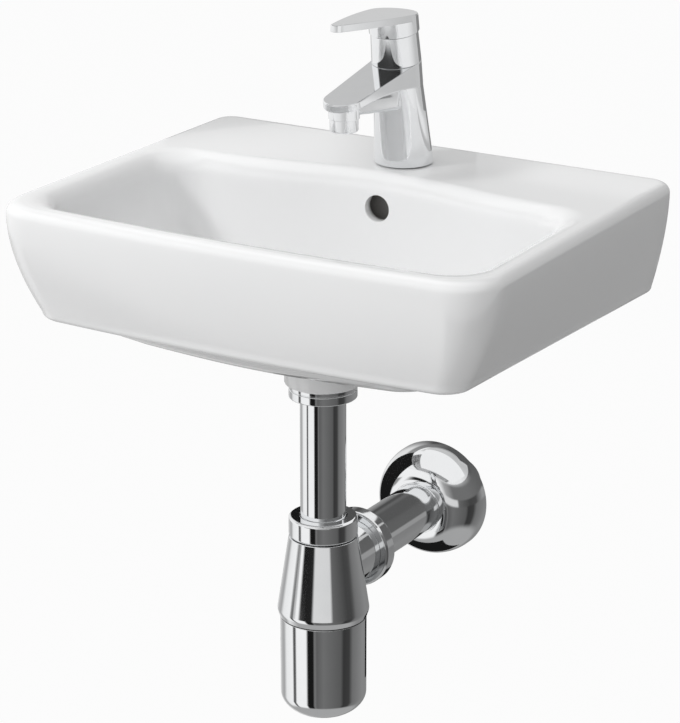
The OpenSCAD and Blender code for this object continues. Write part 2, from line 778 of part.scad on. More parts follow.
module waste_body() {
  slot_w = 10;
  color("silver") at_drain() difference() {
    union() {
      translate([0, 0, seat_z + top_seal_t]) cylinder(r = flange_r, h = flange_t2);
      translate([0, 0, tail_low]) cylinder(r = tail_r, h = seat_z + top_seal_t + 1 - tail_low);
    }
    translate([0, 0, tail_low - 1]) cylinder(r = tail_in, h = cut);
    // Overflow slots
    for (a = [0, 90]) rotate([0, 0, a]) translate([-cut / 2, -slot_w / 2, slot_low])
      cube([cut, slot_w, slot_h]);
  }
}

module waste_top_seal() {
  color("black") at_drain(seat_z) tube(flange_r - 0.5, tail_r + fit_gap, top_seal_t);
}

bottom_seal_t = 4;

module waste_bottom_seal() {
  color("black") at_drain(boss_z - bottom_seal_t)
    tube(waste_nut_r - 2, tail_r + run_gap, bottom_seal_t);
}

nut_top = boss_z - 0.6;
gland_h = 2.2;

module waste_nut() {
  color("silver") at_drain(nut_top - waste_nut_h) difference() {
    cylinder(r = waste_nut_r, h = waste_nut_h);
    translate([0, 0, -1]) cylinder(r = tube_r + fit_gap, h = cut);
    translate([0, 0, tail_low - gland_h - nut_top + waste_nut_h]) cylinder(r = tail_r + run_gap, h = cut);
    translate([0, 0, boss_z - bottom_seal_t - nut_top + waste_nut_h])
      cylinder(r = waste_nut_r - 1.7, h = cut);
  }
}

module tube_seal() {
  color("black") at_drain(tail_low - gland_h) tube(tail_r - 0.1, tube_r, gland_h);
}

plug_t = 4;
stem_r = 4;
guide_h = 8;
spring_r = 8;

module plug_cap() {
  color("silver") at_drain(plug_rest) difference() {
    union() {
      cylinder(r1 = plug_r - 3, r2 = plug_r, h = plug_t / 2);
      translate([0, 0, plug_t / 2]) cylinder(r1 = plug_r, r2 = plug_r - 2, h = plug_t / 2);
      translate([0, 0, -6]) cylinder(r = 6.5, h = 7);
    }
    translate([0, 0, -7]) cylinder(r = stem_r, h = 8);
  }
}

module plug_seal() {
  color("black") at_drain(plug_rest - 2) tube(tail_in - 0.7, tail_in - 3.2, 2);
}

module plug_stem() {
  color("gray") at_drain(guide_z - 2) cylinder(r = stem_r, h = plug_rest + 1 - guide_z + 2);
}

module plug_spring() {
  color("gray") at_drain(guide_z + guide_h) tube(spring_r, stem_r + 1.5, plug_rest - 6 - guide_z - guide_h);
}

module plug_guide() {
  color("gray") at_drain(guide_z) difference() {
    union() {
      cylinder(r = spring_r + 0.5, h = guide_h);
      for (a = [0:60:120]) rotate([0, 0, a]) translate([-tail_in, -1.5, 0])
        cube([2 * tail_in, 3, guide_h / 2]);
    }
    translate([0, 0, -1]) cylinder(r = stem_r + run_gap, h = guide_h + 2);
    tube(tail_in + 5, tail_in - eps, guide_h);
  }
}

// Upright tube and trap
tube_top = boss_z + 4;
tube_low = outlet_z - dip;

module inlet_tube() {
  color("silver") at_drain(tube_low) tube(tube_r, tube_r - tube_t, tube_top - tube_low);
}

neck_z = trap_z - 9;
thread_out = trap_nut_r - 4;
body_z = trap_z - trap_nut_h - 0.5;
cone_low = body_z - cone_h;
bevel_h = 6;
body_low = cone_low - bevel_h;
cup_in = cup_r - 2.5;
wall_t = 2.6;
seal_t = 5;

module trap_nut() {
  color("silver") at_drain(trap_z - trap_nut_h) difference() {
    union() {
      cylinder(r1 = trap_nut_r - 1, r2 = trap_nut_r, h = 2);
      translate([0, 0, 2]) cylinder(r = trap_nut_r, h = trap_nut_h - 4);
      translate([0, 0, trap_nut_h - 2]) cylinder(r1 = trap_nut_r, r2 = trap_nut_r - 1.5, h = 2);
    }
    translate([0, 0, -1]) cylinder(r = tube_r + fit_gap, h = cut);
    translate([0, 0, -1]) cylinder(r = thread_out + run_gap, h = trap_nut_h - 3);
  }
}

module trap_seal() {
  color("black") at_drain(neck_z) tube(thread_out - 0.5, tube_r, seal_t);
}

module trap_body() {
  color("silver") difference() {
    union() {
      at_drain(cone_low) cylinder(r1 = cone_r, r2 = trap_nut_r, h = cone_h);
      at_drain(body_low) cylinder(r1 = cup_r + 0.5, r2 = cone_r, h = bevel_h);
      at_drain(body_z - eps) cylinder(r = thread_out, h = neck_z - body_z + eps);
      at_drain(outlet_z) rotate([-90, 0, 0]) cylinder(r = outlet_thread, h = thread_end);
    }
    at_drain(cone_low) cylinder(r = tube_r + fit_gap, h = cut);
    at_drain(cone_low) cylinder(r1 = cone_r - wall_t, r2 = trap_nut_r - wall_t, h = cone_h - 3);
    at_drain(body_low - 1) cylinder(r = cup_in, h = bevel_h + 8);
    at_drain(outlet_z) rotate([-90, 0, 0]) cylinder(r = outlet_r + fit_gap, h = cut);
  }
}

neck_h = 8;
cup_seal_t = 1;
cup_top = body_low - cup_seal_t;

// Outline of the cup's outer or inner wall, revolved about its axis
module cup_profile(r, dome, h) {
  steps = 12;
  rotate_extrude() polygon(concat(
    [[0, h], [r, h]],
    [for (i = [0:steps]) let (a = 90 * i / steps) [r * cos(a), -dome * sin(a)]]
  ));
}

module trap_cup() {
  color("silver") at_drain(cup_top - cup_h) difference() {
    union() {
      cup_profile(cup_r, cup_dome, cup_h);
      translate([0, 0, cup_h - 1]) cylinder(r = cup_in - run_gap, h = neck_h + cup_seal_t + 1);
    }
    cup_profile(cup_r - wall_t, cup_dome - wall_t, cup_h - 5);
    cylinder(r = cup_in - wall_t, h = cup_h + 20);
  }
}

module cup_seal() {
  color("black") at_drain(cup_top) tube(cup_r, cup_in + 0.1, cup_seal_t);
}

// Outlet through the wall. These pieces lie along Y, measured from the drain's axis.
outlet_thread = outlet_r + 5;
thread_end = outlet_nut_reach + outlet_nut_l - 4;
outlet_start = 42;

module along_outlet(y) {
  translate([0, -drain_y + y, outlet_z]) rotate([-90, 0, 0]) children();
}

module outlet_nut() {
  color("silver") along_outlet(outlet_nut_reach) difference() {
    union() {
      cylinder(r1 = outlet_nut_r - 1.5, r2 = outlet_nut_r, h = 2);
      translate([0, 0, 2]) cylinder(r = outlet_nut_r, h = outlet_nut_l - 4);
      translate([0, 0, outlet_nut_l - 2]) cylinder(r1 = outlet_nut_r, r2 = outlet_nut_r - 1.5, h = 2);
    }
    translate([0, 0, -1]) cylinder(r = outlet_r + fit_gap, h = cut);
    translate([0, 0, -1]) cylinder(r = outlet_thread + run_gap, h = outlet_nut_l - 1);
  }
}

module outlet_seal() {
  color("black") along_outlet(thread_end) tube(outlet_thread - 0.3, outlet_r, 2);
}

module outlet_tube() {
  color("silver") along_outlet(outlet_start) difference() {
    union() {
      cylinder(r = outlet_r, h = drain_y - outlet_start);
      cylinder(r = outlet_r - 0.5, h = drain_y - outlet_start + wall_spigot);
    }
    translate([0, 0, -1]) cylinder(r = outlet_r - 0.5 - tube_t, h = drain_y + wall_spigot);
  }
}

// The flange is a deep bell round the tube, with a short collar that runs on it
flange_wall = 1.2;
flange_lip = 1;
flange_rim = 4;
collar_r = outlet_r + run_gap;
collar_l = 4;
bell_start = collar_r + flange_wall;

module wall_flange() {
  color("silver") along_outlet(drain_y - rosette_d) rotate_extrude() polygon(concat(
    [[collar_r, 0], [bell_start, 0]],
    [for (i = [0:12]) let (a = 90 * i / 12)
      [mix(bell_start, rosette_r, sin(a)), mix(flange_lip, rosette_d - flange_rim, 1 - cos(a))]],
    [[rosette_r, rosette_d], [rosette_r - flange_wall, rosette_d]],
    [for (i = [12:-1:0]) let (a = 90 * i / 12)
      [mix(bell_start, rosette_r - flange_wall, sin(a)),
       mix(flange_lip + flange_wall, rosette_d - flange_rim, 1 - cos(a))]],
    [[bell_start, collar_l], [collar_r, collar_l]]
  ));
}

basin();
tap_body();
tap_base_seal();
tap_stud();
tap_gasket();
tap_clamp();
tap_nut();
aerator_housing();
aerator_insert();
aerator_seal();
cartridge_seals();
cartridge_housing();
disc_fixed();
disc_moving();
cartridge_carrier();
cartridge_pin();
cartridge_nut();
cartridge_sleeve();
lever_stem();
lever_handle();
lever_screw();
lever_plug();
waste_body();
waste_top_seal();
waste_bottom_seal();
waste_nut();
tube_seal();
plug_cap();
plug_seal();
plug_stem();
plug_spring();
plug_guide();
inlet_tube();
trap_nut();
trap_seal();
trap_body();
trap_cup();
cup_seal();
outlet_nut();
outlet_seal();
outlet_tube();
wall_flange();
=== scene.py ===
import json
import math

import bmesh
import bpy
from mathutils import Matrix, Vector


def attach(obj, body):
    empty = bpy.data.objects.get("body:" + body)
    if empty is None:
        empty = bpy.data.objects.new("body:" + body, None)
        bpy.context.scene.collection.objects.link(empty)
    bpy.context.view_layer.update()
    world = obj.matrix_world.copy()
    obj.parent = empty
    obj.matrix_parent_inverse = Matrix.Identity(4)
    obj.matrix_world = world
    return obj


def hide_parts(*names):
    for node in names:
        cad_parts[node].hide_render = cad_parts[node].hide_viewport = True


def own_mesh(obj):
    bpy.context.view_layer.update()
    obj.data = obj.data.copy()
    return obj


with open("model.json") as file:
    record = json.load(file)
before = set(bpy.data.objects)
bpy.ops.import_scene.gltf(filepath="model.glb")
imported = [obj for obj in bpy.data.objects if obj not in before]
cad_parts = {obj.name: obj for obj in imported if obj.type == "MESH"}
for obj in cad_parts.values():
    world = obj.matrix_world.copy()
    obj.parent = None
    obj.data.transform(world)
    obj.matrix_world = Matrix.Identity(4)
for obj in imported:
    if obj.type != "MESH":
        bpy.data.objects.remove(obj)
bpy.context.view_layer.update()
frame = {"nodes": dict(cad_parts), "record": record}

# Sizes are in millimetres, as on the drawing, and turn into metres when a mesh is made.
# Y is a distance from the wall, and Z a height over the two wall-fixing holes.
MM = 0.001

# Camera: its turn and rise in degrees, its distance and aim in metres
CAMERA_TURN, CAMERA_RISE, CAMERA_DISTANCE = 30.48, 18.75, 2.6977
CAMERA_AIM = (0.00174, -0.175, -0.08281)
CAMERA_LENS, CAMERA_SENSOR = 159.34, 36

# Basin: rim and apron
BASIN_W, BASIN_FLARE, BASIN_D, RIM_Z, APRON_H = 450, 4, 358, 65, 99
FRONT_BOW, FRONT_CORNER_R, LOW_CORNER_R, BACK_CORNER_R, RIM_R = 6, 38, 22, 12, 9
APRON_IN_FRONT, APRON_IN_BACK, APRON_IN_NOSE, APRON_T = 29, 14, 17, 11
APRON_CURVE, LOW_EDGE_R = 1.7, 6
# Basin: bowl, deck and drain
RIM_W, DECK_D, DECK_ROUND, INNER_ROUND, DECK_BOW = 31, 98, 12, 18, 20
BOWL_D, FLOOR_FALL, BOWL_CORNER_R, BOWL_T, DECK_T = 115, 10, 38, 9, 14
BOWL_KNEE, HOLLOW_T = 0.55, BOWL_T + 2
DRAIN_Y, DRAIN_R, BOSS_R, RECESS_R = 200, 23, 32.5, 33.5
FLOOR = RIM_Z - BOWL_D
BOSS_Z = -94
SEAT_Z = FLOOR - 3
# Basin: overflow and wall fixings
OVERFLOW_R, OVERFLOW_Z = 11.4, 35
CHANNEL_Y, CHANNEL_D, CHANNEL_W, DUCT_SKIN = 102, 10, 44, 6
CHANNEL_TOP, CHANNEL_ROOF = OVERFLOW_Z + OVERFLOW_R + 3, FLOOR - 15
FIXING_PITCH, FIXING_R = 280, 8

# Tap: heights are along its leaning axis, from the deck
TAP_Y, TAP_LEAN, TAP_HOLE_R = 64, 8.8, 17.5
FOOT_GAP, FOOT_R, SHOULDER_R, BODY_H = 0.8, 25.8, 20.8, 93
TAPER_LOW, TAPER_TOP, BODY_CORE_TOP = -8, 75, 74
SLEEVE_R, CAP_R, TAP_H = 20.2, 21.4, 136.8
COLLAR_R, NECK_R, NECK_LOW, NECK_TOP = 21.2, 18.5, 75, 102.5
SPOUT_R, SPOUT_T, COLLAR_T, SPOUT_F = 17, 7, 22, 89.4
SLEEVE_TOP, SKIRT_LOW, CEILING, PIVOT_S = 119.5, 120.1, 128.2, 107
LEVER_SLOPE, LEVER_T, LEVER_TIP_R, LEVER_END = 13.04, 6, 5, 92.5
CARTRIDGE_R, CARTRIDGE_NUT_R = 14.05, 15.65
AERATOR_Y, MOUTH_Z, AERATOR_R, AERATOR_H = 165.5, 115, 12, 11
AERATOR_TOP, SPOUT_UNDER = 126, 136.31

# Waste and trap
WASTE_RIM_Z, TAIL_R, TAIL_LOW = -51.8, 22, -102
TUBE_R, TUBE_WALL, TUBE_TOP, TUBE_LOW = 19.5, 1, -90, -340
TUBE_WAY_R = 19.8
CONE_TOP, CONE_LOW, BODY_LOW = -231.5, -298, -304
CUP_R, CUP_WALL, CUP_TOP, CUP_H, CUP_DOME = 37, 2.6, -305, 70, 22
THREAD_R, CUP_BORE_R = 34.45, 31.9
OUTLET_Z, OUTLET_R, OUTLET_BORE_R = -262, 22, 21
FLANGE_R, FLANGE_D, FLANGE_BORE_R, FLANGE_NECK_R, FLANGE_T = 51.5, 38, 22.55, 23.75, 1.2

# How finely the pieces are made
LATHE_STEPS = 144
SAME_POINT = 0.000001      # metres


# ---- Shader and node helpers ----

MIX_FIRST, MIX_SECOND, MIX_RESULT = 6, 7, 2      # the colour sockets of a Mix node


class Value:
    """One output of a node, which takes part in Python expressions."""

    def __init__(self, board, output):
        self.board = board
        self.output = output

    def maths(self, operation, *terms):
        return self.board.add("ShaderNodeMath", {"operation": operation}, terms)

    def __add__(self, other):
        return self.maths("ADD", self, other)

    def __radd__(self, other):
        return self.maths("ADD", other, self)

    def __sub__(self, other):
        return self.maths("SUBTRACT", self, other)

    def __rsub__(self, other):
        return self.maths("SUBTRACT", other, self)

    def __mul__(self, other):
        return self.maths("MULTIPLY", self, other)

    def __rmul__(self, other):
        return self.maths("MULTIPLY", other, self)

    def __truediv__(self, other):
        return self.maths("DIVIDE", self, other)

    def __rtruediv__(self, other):
        return self.maths("DIVIDE", other, self)


class Board:
    """A node tree that is being laid out."""

    def __init__(self, tree):
        self.tree = tree
        tree.nodes.clear()

    def add(self, kind, settings=None, values=(), out=0):
        """Adds a node: its settings first, then its sockets' values or links."""
        node = self.tree.nodes.new(kind)
        for name, setting in (settings or {}).items():
            if name == "stops":
                self.set_stops(node.color_ramp, setting)
            else:
                setattr(node, name, setting)
        for key, value in values.items() if isinstance(values, dict) else enumerate(values):
            if isinstance(value, Value):
                self.tree.links.new(value.output, node.inputs[key])
            elif value is not None:
                node.inputs[key].default_value = value
        return Value(self, node.outputs[out]) if len(node.outputs) else None

    @staticmethod
    def set_stops(ramp, stops):
        """Gives a colour ramp its grey stops, each a place and a level."""
        for place, _ in stops[1:]:
            ramp.elements.new(place)
        while len(ramp.elements) > len(stops):
            ramp.elements.remove(ramp.elements[-1])
        for stop, (place, level) in zip(ramp.elements, stops):
            stop.position = place
            stop.color = grey(level)

    def parts(self, place):
        """The X, Y and Z of a place."""
        node = self.add("ShaderNodeSeparateXYZ", None, [place]).output.node
        return [Value(self, output) for output in node.outputs]

    def noise(self, place, scale, detail=2.0):
        return self.add("ShaderNodeTexNoise", None,
                        {"Vector": place, "Scale": scale, "Detail": detail})

    def step(self, value, low, high):
        """Goes smoothly from 0 to 1 while the value goes from low to high."""
        return self.add("ShaderNodeMapRange", {"interpolation_type": "SMOOTHSTEP"},
                        {"Value": value, "From Min": low, "From Max": high})

    def step_mm(self, value, low, high):
        return self.step(value, low * MM, high * MM)

    def tint(self, mask, first, second):
        return self.add("ShaderNodeMix", {"data_type": "RGBA"},
                        {0: mask, MIX_FIRST: first, MIX_SECOND: second}, out=MIX_RESULT)

    def stretched(self, place, scale):
        return self.add("ShaderNodeMapping", None, {"Vector": place, "Scale": scale})

    def bump(self, height, distance):
        return self.add("ShaderNodeBump", None,
                        {"Strength": 1.0, "Distance": distance, "Height": height})


def new_board(name):
    """A new material and its empty board."""
    material = bpy.data.materials.new(name)
    material.use_nodes = True
    return material, Board(material.node_tree)


def finish(name, build):
    """A material whose build function gives the values and links of its shader's sockets."""
    material, board = new_board(name)
    place = board.add("ShaderNodeTexCoord", out="Object")
    shader = board.add("ShaderNodeBsdfPrincipled", None, build(board, place))
    board.add("ShaderNodeOutputMaterial", None, {"Surface": shader})
    return material


def grey(level, warmth=0.0):
    return (level * (1 + warmth), level, level * (1 - warmth), 1)


def glaze(board, place):
    """White glaze, bare clay where it meets the wall, and painted shade that darkens the inside of
    the overflow channel.
    """
    side, depth, height = board.parts(place)
    cloud = board.noise(place, 9)
    grain = board.noise(place, 900, 3)
    bare = board.step_mm(depth + board.noise(place, 60) * 0.0012, -1.1, -0.5)
    clay = board.tint(grain, grey(0.74, 0.035), grey(0.62, 0.045))
    white = board.tint(cloud, grey(0.9, -0.002), grey(0.88, -0.004))
    # Painted shade: the inside of the overflow channel, a deep recess, is coloured dark grey to
    # stand for its shadow.
    half, back = CHANNEL_W / 2, CHANNEL_Y - CHANNEL_D
    painted_channel_shade = (board.step_mm(depth, -CHANNEL_Y - 5, -CHANNEL_Y + 1)
             * board.step_mm(depth, -back + 1, -back)
             * board.step_mm(side.maths("ABSOLUTE", side), half + 1.5, half)
             * board.step_mm(height, CHANNEL_TOP + 1, CHANNEL_TOP)
             * board.step_mm(height, FLOOR - 6, FLOOR))
    white = board.tint(painted_channel_shade, white, board.tint(grain, grey(0.3, 0.03), grey(0.2, 0.04)))
    return {
        "Base Color": board.tint(bare, white, clay),
        "Roughness": 0.13 + cloud * 0.06 + bare * 0.5,
        "Normal": board.bump(board.noise(place, 130) + bare * grain * 4, 0.00002),
        "Coat Weight": 0.25,
        "Coat Roughness": 0.04,
    }


def chrome(board, place):
    haze = board.noise(place, 70, 3)
    return {
        "Base Color": board.tint(haze, grey(0.9, -0.008), grey(0.85, -0.012)),
        "Metallic": 1.0,
        "Roughness": 0.045 + haze * 0.035,
        "Normal": board.bump(board.noise(place, 45, 1), 0.00001),
    }


def rubber(board, place):
    grain = board.noise(place, 1400, 3)
    return {
        "Base Color": board.tint(grain, grey(0.02), grey(0.045)),
        "Roughness": 0.55 + grain * 0.25,
        "Normal": board.bump(grain, 0.00004),
    }


def brass(board, place):
    turning = board.noise(board.stretched(place, (1, 1, 60)), 90)
    return {
        "Base Color": board.tint(turning, (0.74, 0.53, 0.22, 1), (0.6, 0.4, 0.15, 1)),
        "Metallic": 1.0,
        "Roughness": 0.22 + turning * 0.2,
        "Normal": board.bump(turning, 0.00003),
    }


def steel(board, place):
    brush = board.noise(board.stretched(place, (1, 1, 45)), 120, 3)
    return {
        "Base Color": board.tint(brush, grey(0.62, -0.01), grey(0.48, -0.01)),
        "Metallic": 1.0,
        "Roughness": 0.25 + brush * 0.2,
        "Normal": board.bump(brush, 0.00003),
    }


def plastic(board, place):
    grain = board.noise(place, 700, 3)
    return {
        "Base Color": board.tint(grain, grey(0.5), grey(0.42, 0.01)),
        "Roughness": 0.38 + grain * 0.15,
        "Normal": board.bump(grain, 0.00002),
    }


def lapped(board, place):
    speck = board.noise(place, 2600, 2)
    return {
        "Base Color": board.tint(speck, grey(0.8, 0.03), grey(0.7, 0.05)),
        "Roughness": 0.12 + speck * 0.1,
    }


FINISHES = {
    "glazed": finish("white_glaze", glaze),
    "chrome": finish("bright_chrome", chrome),
    "rubber": finish("black_rubber", rubber),
    "brass": finish("turned_brass", brass),
    "steel": finish("brushed_steel", steel),
    "plastic": finish("moulded_plastic", plastic),
    "disc": finish("lapped_ceramic", lapped),
}
slot_of = {row["node"]: row["material_slot"] for row in frame["record"]["subparts"]}


# ---- Places ----

HERE = Matrix.Identity(4)


def tilt(degrees):
    """A turn about X."""
    return Matrix.Rotation(math.radians(degrees), 4, "X")


def upright(y, z=0):
    """A place on a vertical axis, at a distance from the wall."""
    return Matrix.Translation((0, -y, z))


def lean(s=0):
    """A place on the tap's leaning axis, at a height along it."""
    return upright(TAP_Y, RIM_Z) @ tilt(TAP_LEAN) @ Matrix.Translation((0, 0, s))


def lever_top():
    """A place on the lever's sloping top."""
    return lean(TAP_H) @ tilt(-LEVER_SLOPE)


def along_outlet(y=0):
    """A place on the outlet's axis, at a distance from the drain's axis towards the wall."""
    return upright(DRAIN_Y - y, OUTLET_Z) @ Matrix.Rotation(-math.pi / 2, 4, "X")


# ---- Mesh helpers ----

ON_AXIS = 0.0001                                 # a smaller radius is a point on the axis
ROUND_STEPS, LONGEST_ARM, GUARD = 5, 0.45, 1.12  # of a rounded corner


def mix(a, b, t):
    return a + (b - a) * t


def round_points(r, n):
    """The points of a circle."""
    return [(r * math.cos(math.tau * i / n), r * math.sin(math.tau * i / n)) for i in range(n)]


def arc(r, start, end, steps, forward=0, first=0):
    """The points of an arc about a centre forward of the origin."""
    turns = [mix(start, end, i / steps) for i in range(first, steps + 1)]
    return [(r * math.cos(a), forward + r * math.sin(a)) for a in turns]


def rework(mesh, *changes):
    """Changes a mesh by functions of its bmesh."""
    work = bmesh.new()
    work.from_mesh(mesh)
    for change in changes:
        change(work)
    work.to_mesh(mesh)
    work.free()


def new_piece(name, data):
    piece = bpy.data.objects.new(name, data)
    bpy.context.scene.collection.objects.link(piece)
    return piece


def mesh_object(name, points, faces, place=HERE):
    mesh = bpy.data.meshes.new(name)
    mesh.from_pydata([(place @ Vector(p)) * MM for p in points], [], faces)
    rework(mesh, lambda work: bmesh.ops.remove_doubles(work, verts=work.verts, dist=SAME_POINT),
           lambda work: bmesh.ops.recalc_face_normals(work, faces=work.faces))
    return new_piece(name, mesh)


def ring_mesh(name, rings, place=HERE, closed=True):
    """A skin over rings of points. Where it isn't closed into a loop, its two ends are capped."""
    n = len(rings[0])
    points = [p for ring in rings for p in ring]
    faces = []
    for j in range(len(rings) if closed else len(rings) - 1):
        k = (j + 1) % len(rings)
        for i in range(n):
            h = (i + 1) % n
            faces.append((j * n + i, j * n + h, k * n + h, k * n + i))
    if not closed:
        for base in (0, (len(rings) - 1) * n):
            faces += [(base + i, base + i + 1, base + n - 2 - i, base + n - 1 - i)
                      for i in range(n // 2 - 1)]
    return mesh_object(name, points, faces, place)


def eased(corners):
    """A profile of (radius, height, rounding) corners with its corners rounded."""
    out = []
    for i, (r, h, soft) in enumerate(corners):
        here = Vector((r, h))
        if soft == 0:
            out.append(here)
            continue
        arms = []
        for other in (corners[i - 1], corners[(i + 1) % len(corners)]):
            arm = Vector(other[:2]) - here
            arms.append(here + arm.normalized() * min(soft, arm.length * LONGEST_ARM))
        guard = [here + (a - here) * GUARD for a in arms]
        curve = [k / ROUND_STEPS for k in range(ROUND_STEPS + 1)]
        out.append(guard[0])
        out += [arms[0] * (1 - t) ** 2 + here * 2 * t * (1 - t) + arms[1] * t * t for t in curve]
        out.append(guard[1])
    return out


def turned(name, corners, place, segments=LATHE_STEPS):
    """A piece turned on a lathe: its profile goes round a loop, or starts and ends on the axis."""
    profile = eased(corners)
    points, faces, rows = [], [], []
    for r, h in profile:
        if r < ON_AXIS:
            rows.append([len(points)] * segments)
            points.append((0, 0, h))
        else:
            rows.append([len(points) + i for i in range(segments)])
            points += [(x, y, h) for x, y in round_points(r, segments)]
    open_ended = profile[0][0] < ON_AXIS
    for j in range(len(rows) - 1 if open_ended else len(rows)):
        a, b = rows[j], rows[(j + 1) % len(rows)]
        for i in range(segments):
            h = (i + 1) % segments
            corner = [a[i], a[h], b[h], b[i]]
            face = [v for k, v in enumerate(corner) if v != corner[k - 1]]
            if len(set(face)) > 2:
                faces.append(face)
    return mesh_object(name, points, faces, place)


def rod(name, radius, low, high, place, segments=96):
    profile = [(0, low, 0), (radius, low, 0), (radius, high, 0), (0, high, 0)]
    return turned(name, profile, place, segments)


def rounds_hull(name, rounds):
    """The hull of flat rounds, each a list of (y, z, radius) circles in its own place."""
    work = bmesh.new()
    for place, circles in rounds:
        for y, z, r in circles:
            for x, across in round_points(r, 72):
                work.verts.new(place @ Vector((x, y + across, z)) * MM)
    result = bmesh.ops.convex_hull(work, input=work.verts)
    spare = {g for g in result["geom_interior"] + result["geom_unused"]
             if isinstance(g, bmesh.types.BMVert)}
    bmesh.ops.delete(work, geom=list(spare), context="VERTS")
    bmesh.ops.dissolve_limit(work, angle_limit=0.002, verts=work.verts, edges=work.edges)
    mesh = bpy.data.meshes.new(name)
    work.to_mesh(mesh)
    work.free()
    return new_piece(name, mesh)


def block(name, low, high, place=HERE):
    points = [(x, y, z) for x in (low[0], high[0]) for y in (low[1], high[1])
              for z in (low[2], high[2])]
    faces = [(0, 1, 3, 2), (4, 6, 7, 5), (0, 4, 5, 1), (2, 3, 7, 6), (0, 2, 6, 4), (1, 5, 7, 3)]
    return mesh_object(name, points, faces, place)


def slab_across(name, outline, half_width):
    """An outline in (y, z), given a width along X."""
    n = len(outline)
    points = [(side * half_width, y, z) for side in (-1, 1) for y, z in outline]
    faces = [tuple(range(n)), tuple(range(2 * n - 1, n - 1, -1))]
    faces += [(i, (i + 1) % n, n + (i + 1) % n, n + i) for i in range(n)]
    return mesh_object(name, points, faces)


def settle(piece):
    """Applies the piece's modifiers to its mesh."""
    graph = bpy.context.evaluated_depsgraph_get()
    mesh = bpy.data.meshes.new_from_object(piece.evaluated_get(graph))
    piece.modifiers.clear()
    old = piece.data
    piece.data = mesh
    bpy.data.meshes.remove(old)


def carve(piece, tool, operation="DIFFERENCE"):
    """Cuts a tool out of a piece, or joins the two, and takes the tool away."""
    step = piece.modifiers.new("carve", "BOOLEAN")
    step.operation = operation
    step.solver = "EXACT"
    step.object = tool
    bpy.context.view_layer.update()
    settle(piece)
    bpy.data.objects.remove(tool)


def dress(piece, slot, body, *nodes, crease=35):
    """Gives a finished piece its surface and its body, and hides the CAD nodes that it stands for.
    """
    rework(piece.data,
           lambda work: bmesh.ops.remove_doubles(work, verts=work.verts, dist=2 * SAME_POINT))
    piece.data.materials.clear()
    piece.data.materials.append(FINISHES[slot])
    piece.data.shade_smooth()
    piece.data.set_sharp_from_angle(angle=math.radians(crease))
    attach(piece, body)
    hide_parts(*nodes)


# ---- Basin ----

# Shares along half of the back, one side and half of the front, and the steps of a corner
BACK = [i / 22 for i in range(22)]
SIDE = [i / 20 for i in range(20)]
FRONT = [1 - i / 22 for i in range(23)]
TURN = 12


def ease(t):
    """Goes smoothly from 0 to 1."""
    return (1 - math.cos(math.pi * max(0, min(1, t)))) / 2


def half_outline(w_b, w_f, y_b, y_f, r_b, r_f, bow_b, bow_f):
    """Right half of a rounded outline seen from above, from its back to its front.

    Half width, distance from the wall, corner radius and bow, each at the back and the front.
    """
    x_b, x_f, c_b, c_f = w_b - r_b, w_f - r_f, y_b + bow_b, y_f - bow_f
    corner = [math.pi / 2 * i / TURN for i in range(TURN)]
    out = [(x_b * s, -(y_b + bow_b * ease(s))) for s in BACK]
    out += [(x_b + r_b * math.sin(a), -(c_b + r_b * (1 - math.cos(a)))) for a in corner]
    out += [(mix(w_b, w_f, s), -mix(c_b + r_b, c_f - r_f, s)) for s in SIDE]
    out += [(x_f + r_f * math.cos(a), -(c_f - r_f * (1 - math.sin(a)))) for a in corner]
    return out + [(x_f * s, -(y_f - bow_f * s * s)) for s in FRONT]


def whole(half):
    return half + [(-x, y) for x, y in half[-2:0:-1]]


def outer(in_back, in_front, in_nose, in_wall, front_r=FRONT_CORNER_R):
    """The outside's outline, drawn in at its back, its front corners, its nose and the wall."""
    return whole(half_outline(BASIN_W / 2 - in_back, BASIN_W / 2 + BASIN_FLARE - in_front, in_wall,
                              BASIN_D - in_nose, BACK_CORNER_R, front_r, 0, FRONT_BOW))


def bowl_outline(grow):
    """The bowl's outline below its rounded edge, or that of a larger one round it."""
    half_w, corner_r = BASIN_W / 2 - RIM_W + grow, BOWL_CORNER_R + grow
    return whole(half_outline(half_w, half_w + BASIN_FLARE, DECK_D + DECK_ROUND - grow,
                              BASIN_D - RIM_W + grow, corner_r, corner_r, DECK_BOW, FRONT_BOW))


def crest_outline():
    """Where the bowl's rounded edge meets the flat of the rim."""
    inset = RIM_R + 3
    half_w = BASIN_W / 2 - inset
    return whole(half_outline(half_w, half_w + BASIN_FLARE, DECK_D, BASIN_D - inset,
                              BOWL_CORNER_R, FRONT_CORNER_R, DECK_BOW, FRONT_BOW))


def circle_like(outline, r):
    """A circle round the drain, whose points face those of an outline."""
    out = []
    for x, y in outline:
        length = math.hypot(x, y + DRAIN_Y)
        out.append((r * x / length, -DRAIN_Y + r * (y + DRAIN_Y) / length))
    return out


def merge(a, b, t):
    return [(mix(p[0], q[0], t), mix(p[1], q[1], t)) for p, q in zip(a, b)]


def at_z(outline, z):
    return [(x, y, z) for x, y in outline]


def bowl_z(s):
    """The bowl's height at a share of the way from the drain to its edge."""
    q = max(0, (s - BOWL_KNEE) / (1 - BOWL_KNEE))
    rise = RIM_Z - INNER_ROUND - FLOOR - FLOOR_FALL
    return FLOOR + FLOOR_FALL * s + rise * (1 - math.sqrt(max(0, 1 - q * q)))


def apron(t, inset, wall_inset):
    """The apron's outline at a share of its height, from the rim down."""
    s = t ** APRON_CURVE
    return outer(APRON_IN_BACK * s + inset, APRON_IN_FRONT * s + inset, APRON_IN_NOSE * s + inset,
                 wall_inset, mix(FRONT_CORNER_R, LOW_CORNER_R, t))


def apron_z(t):
    return mix(RIM_Z - RIM_R, RIM_Z - APRON_H + LOW_EDGE_R, t)


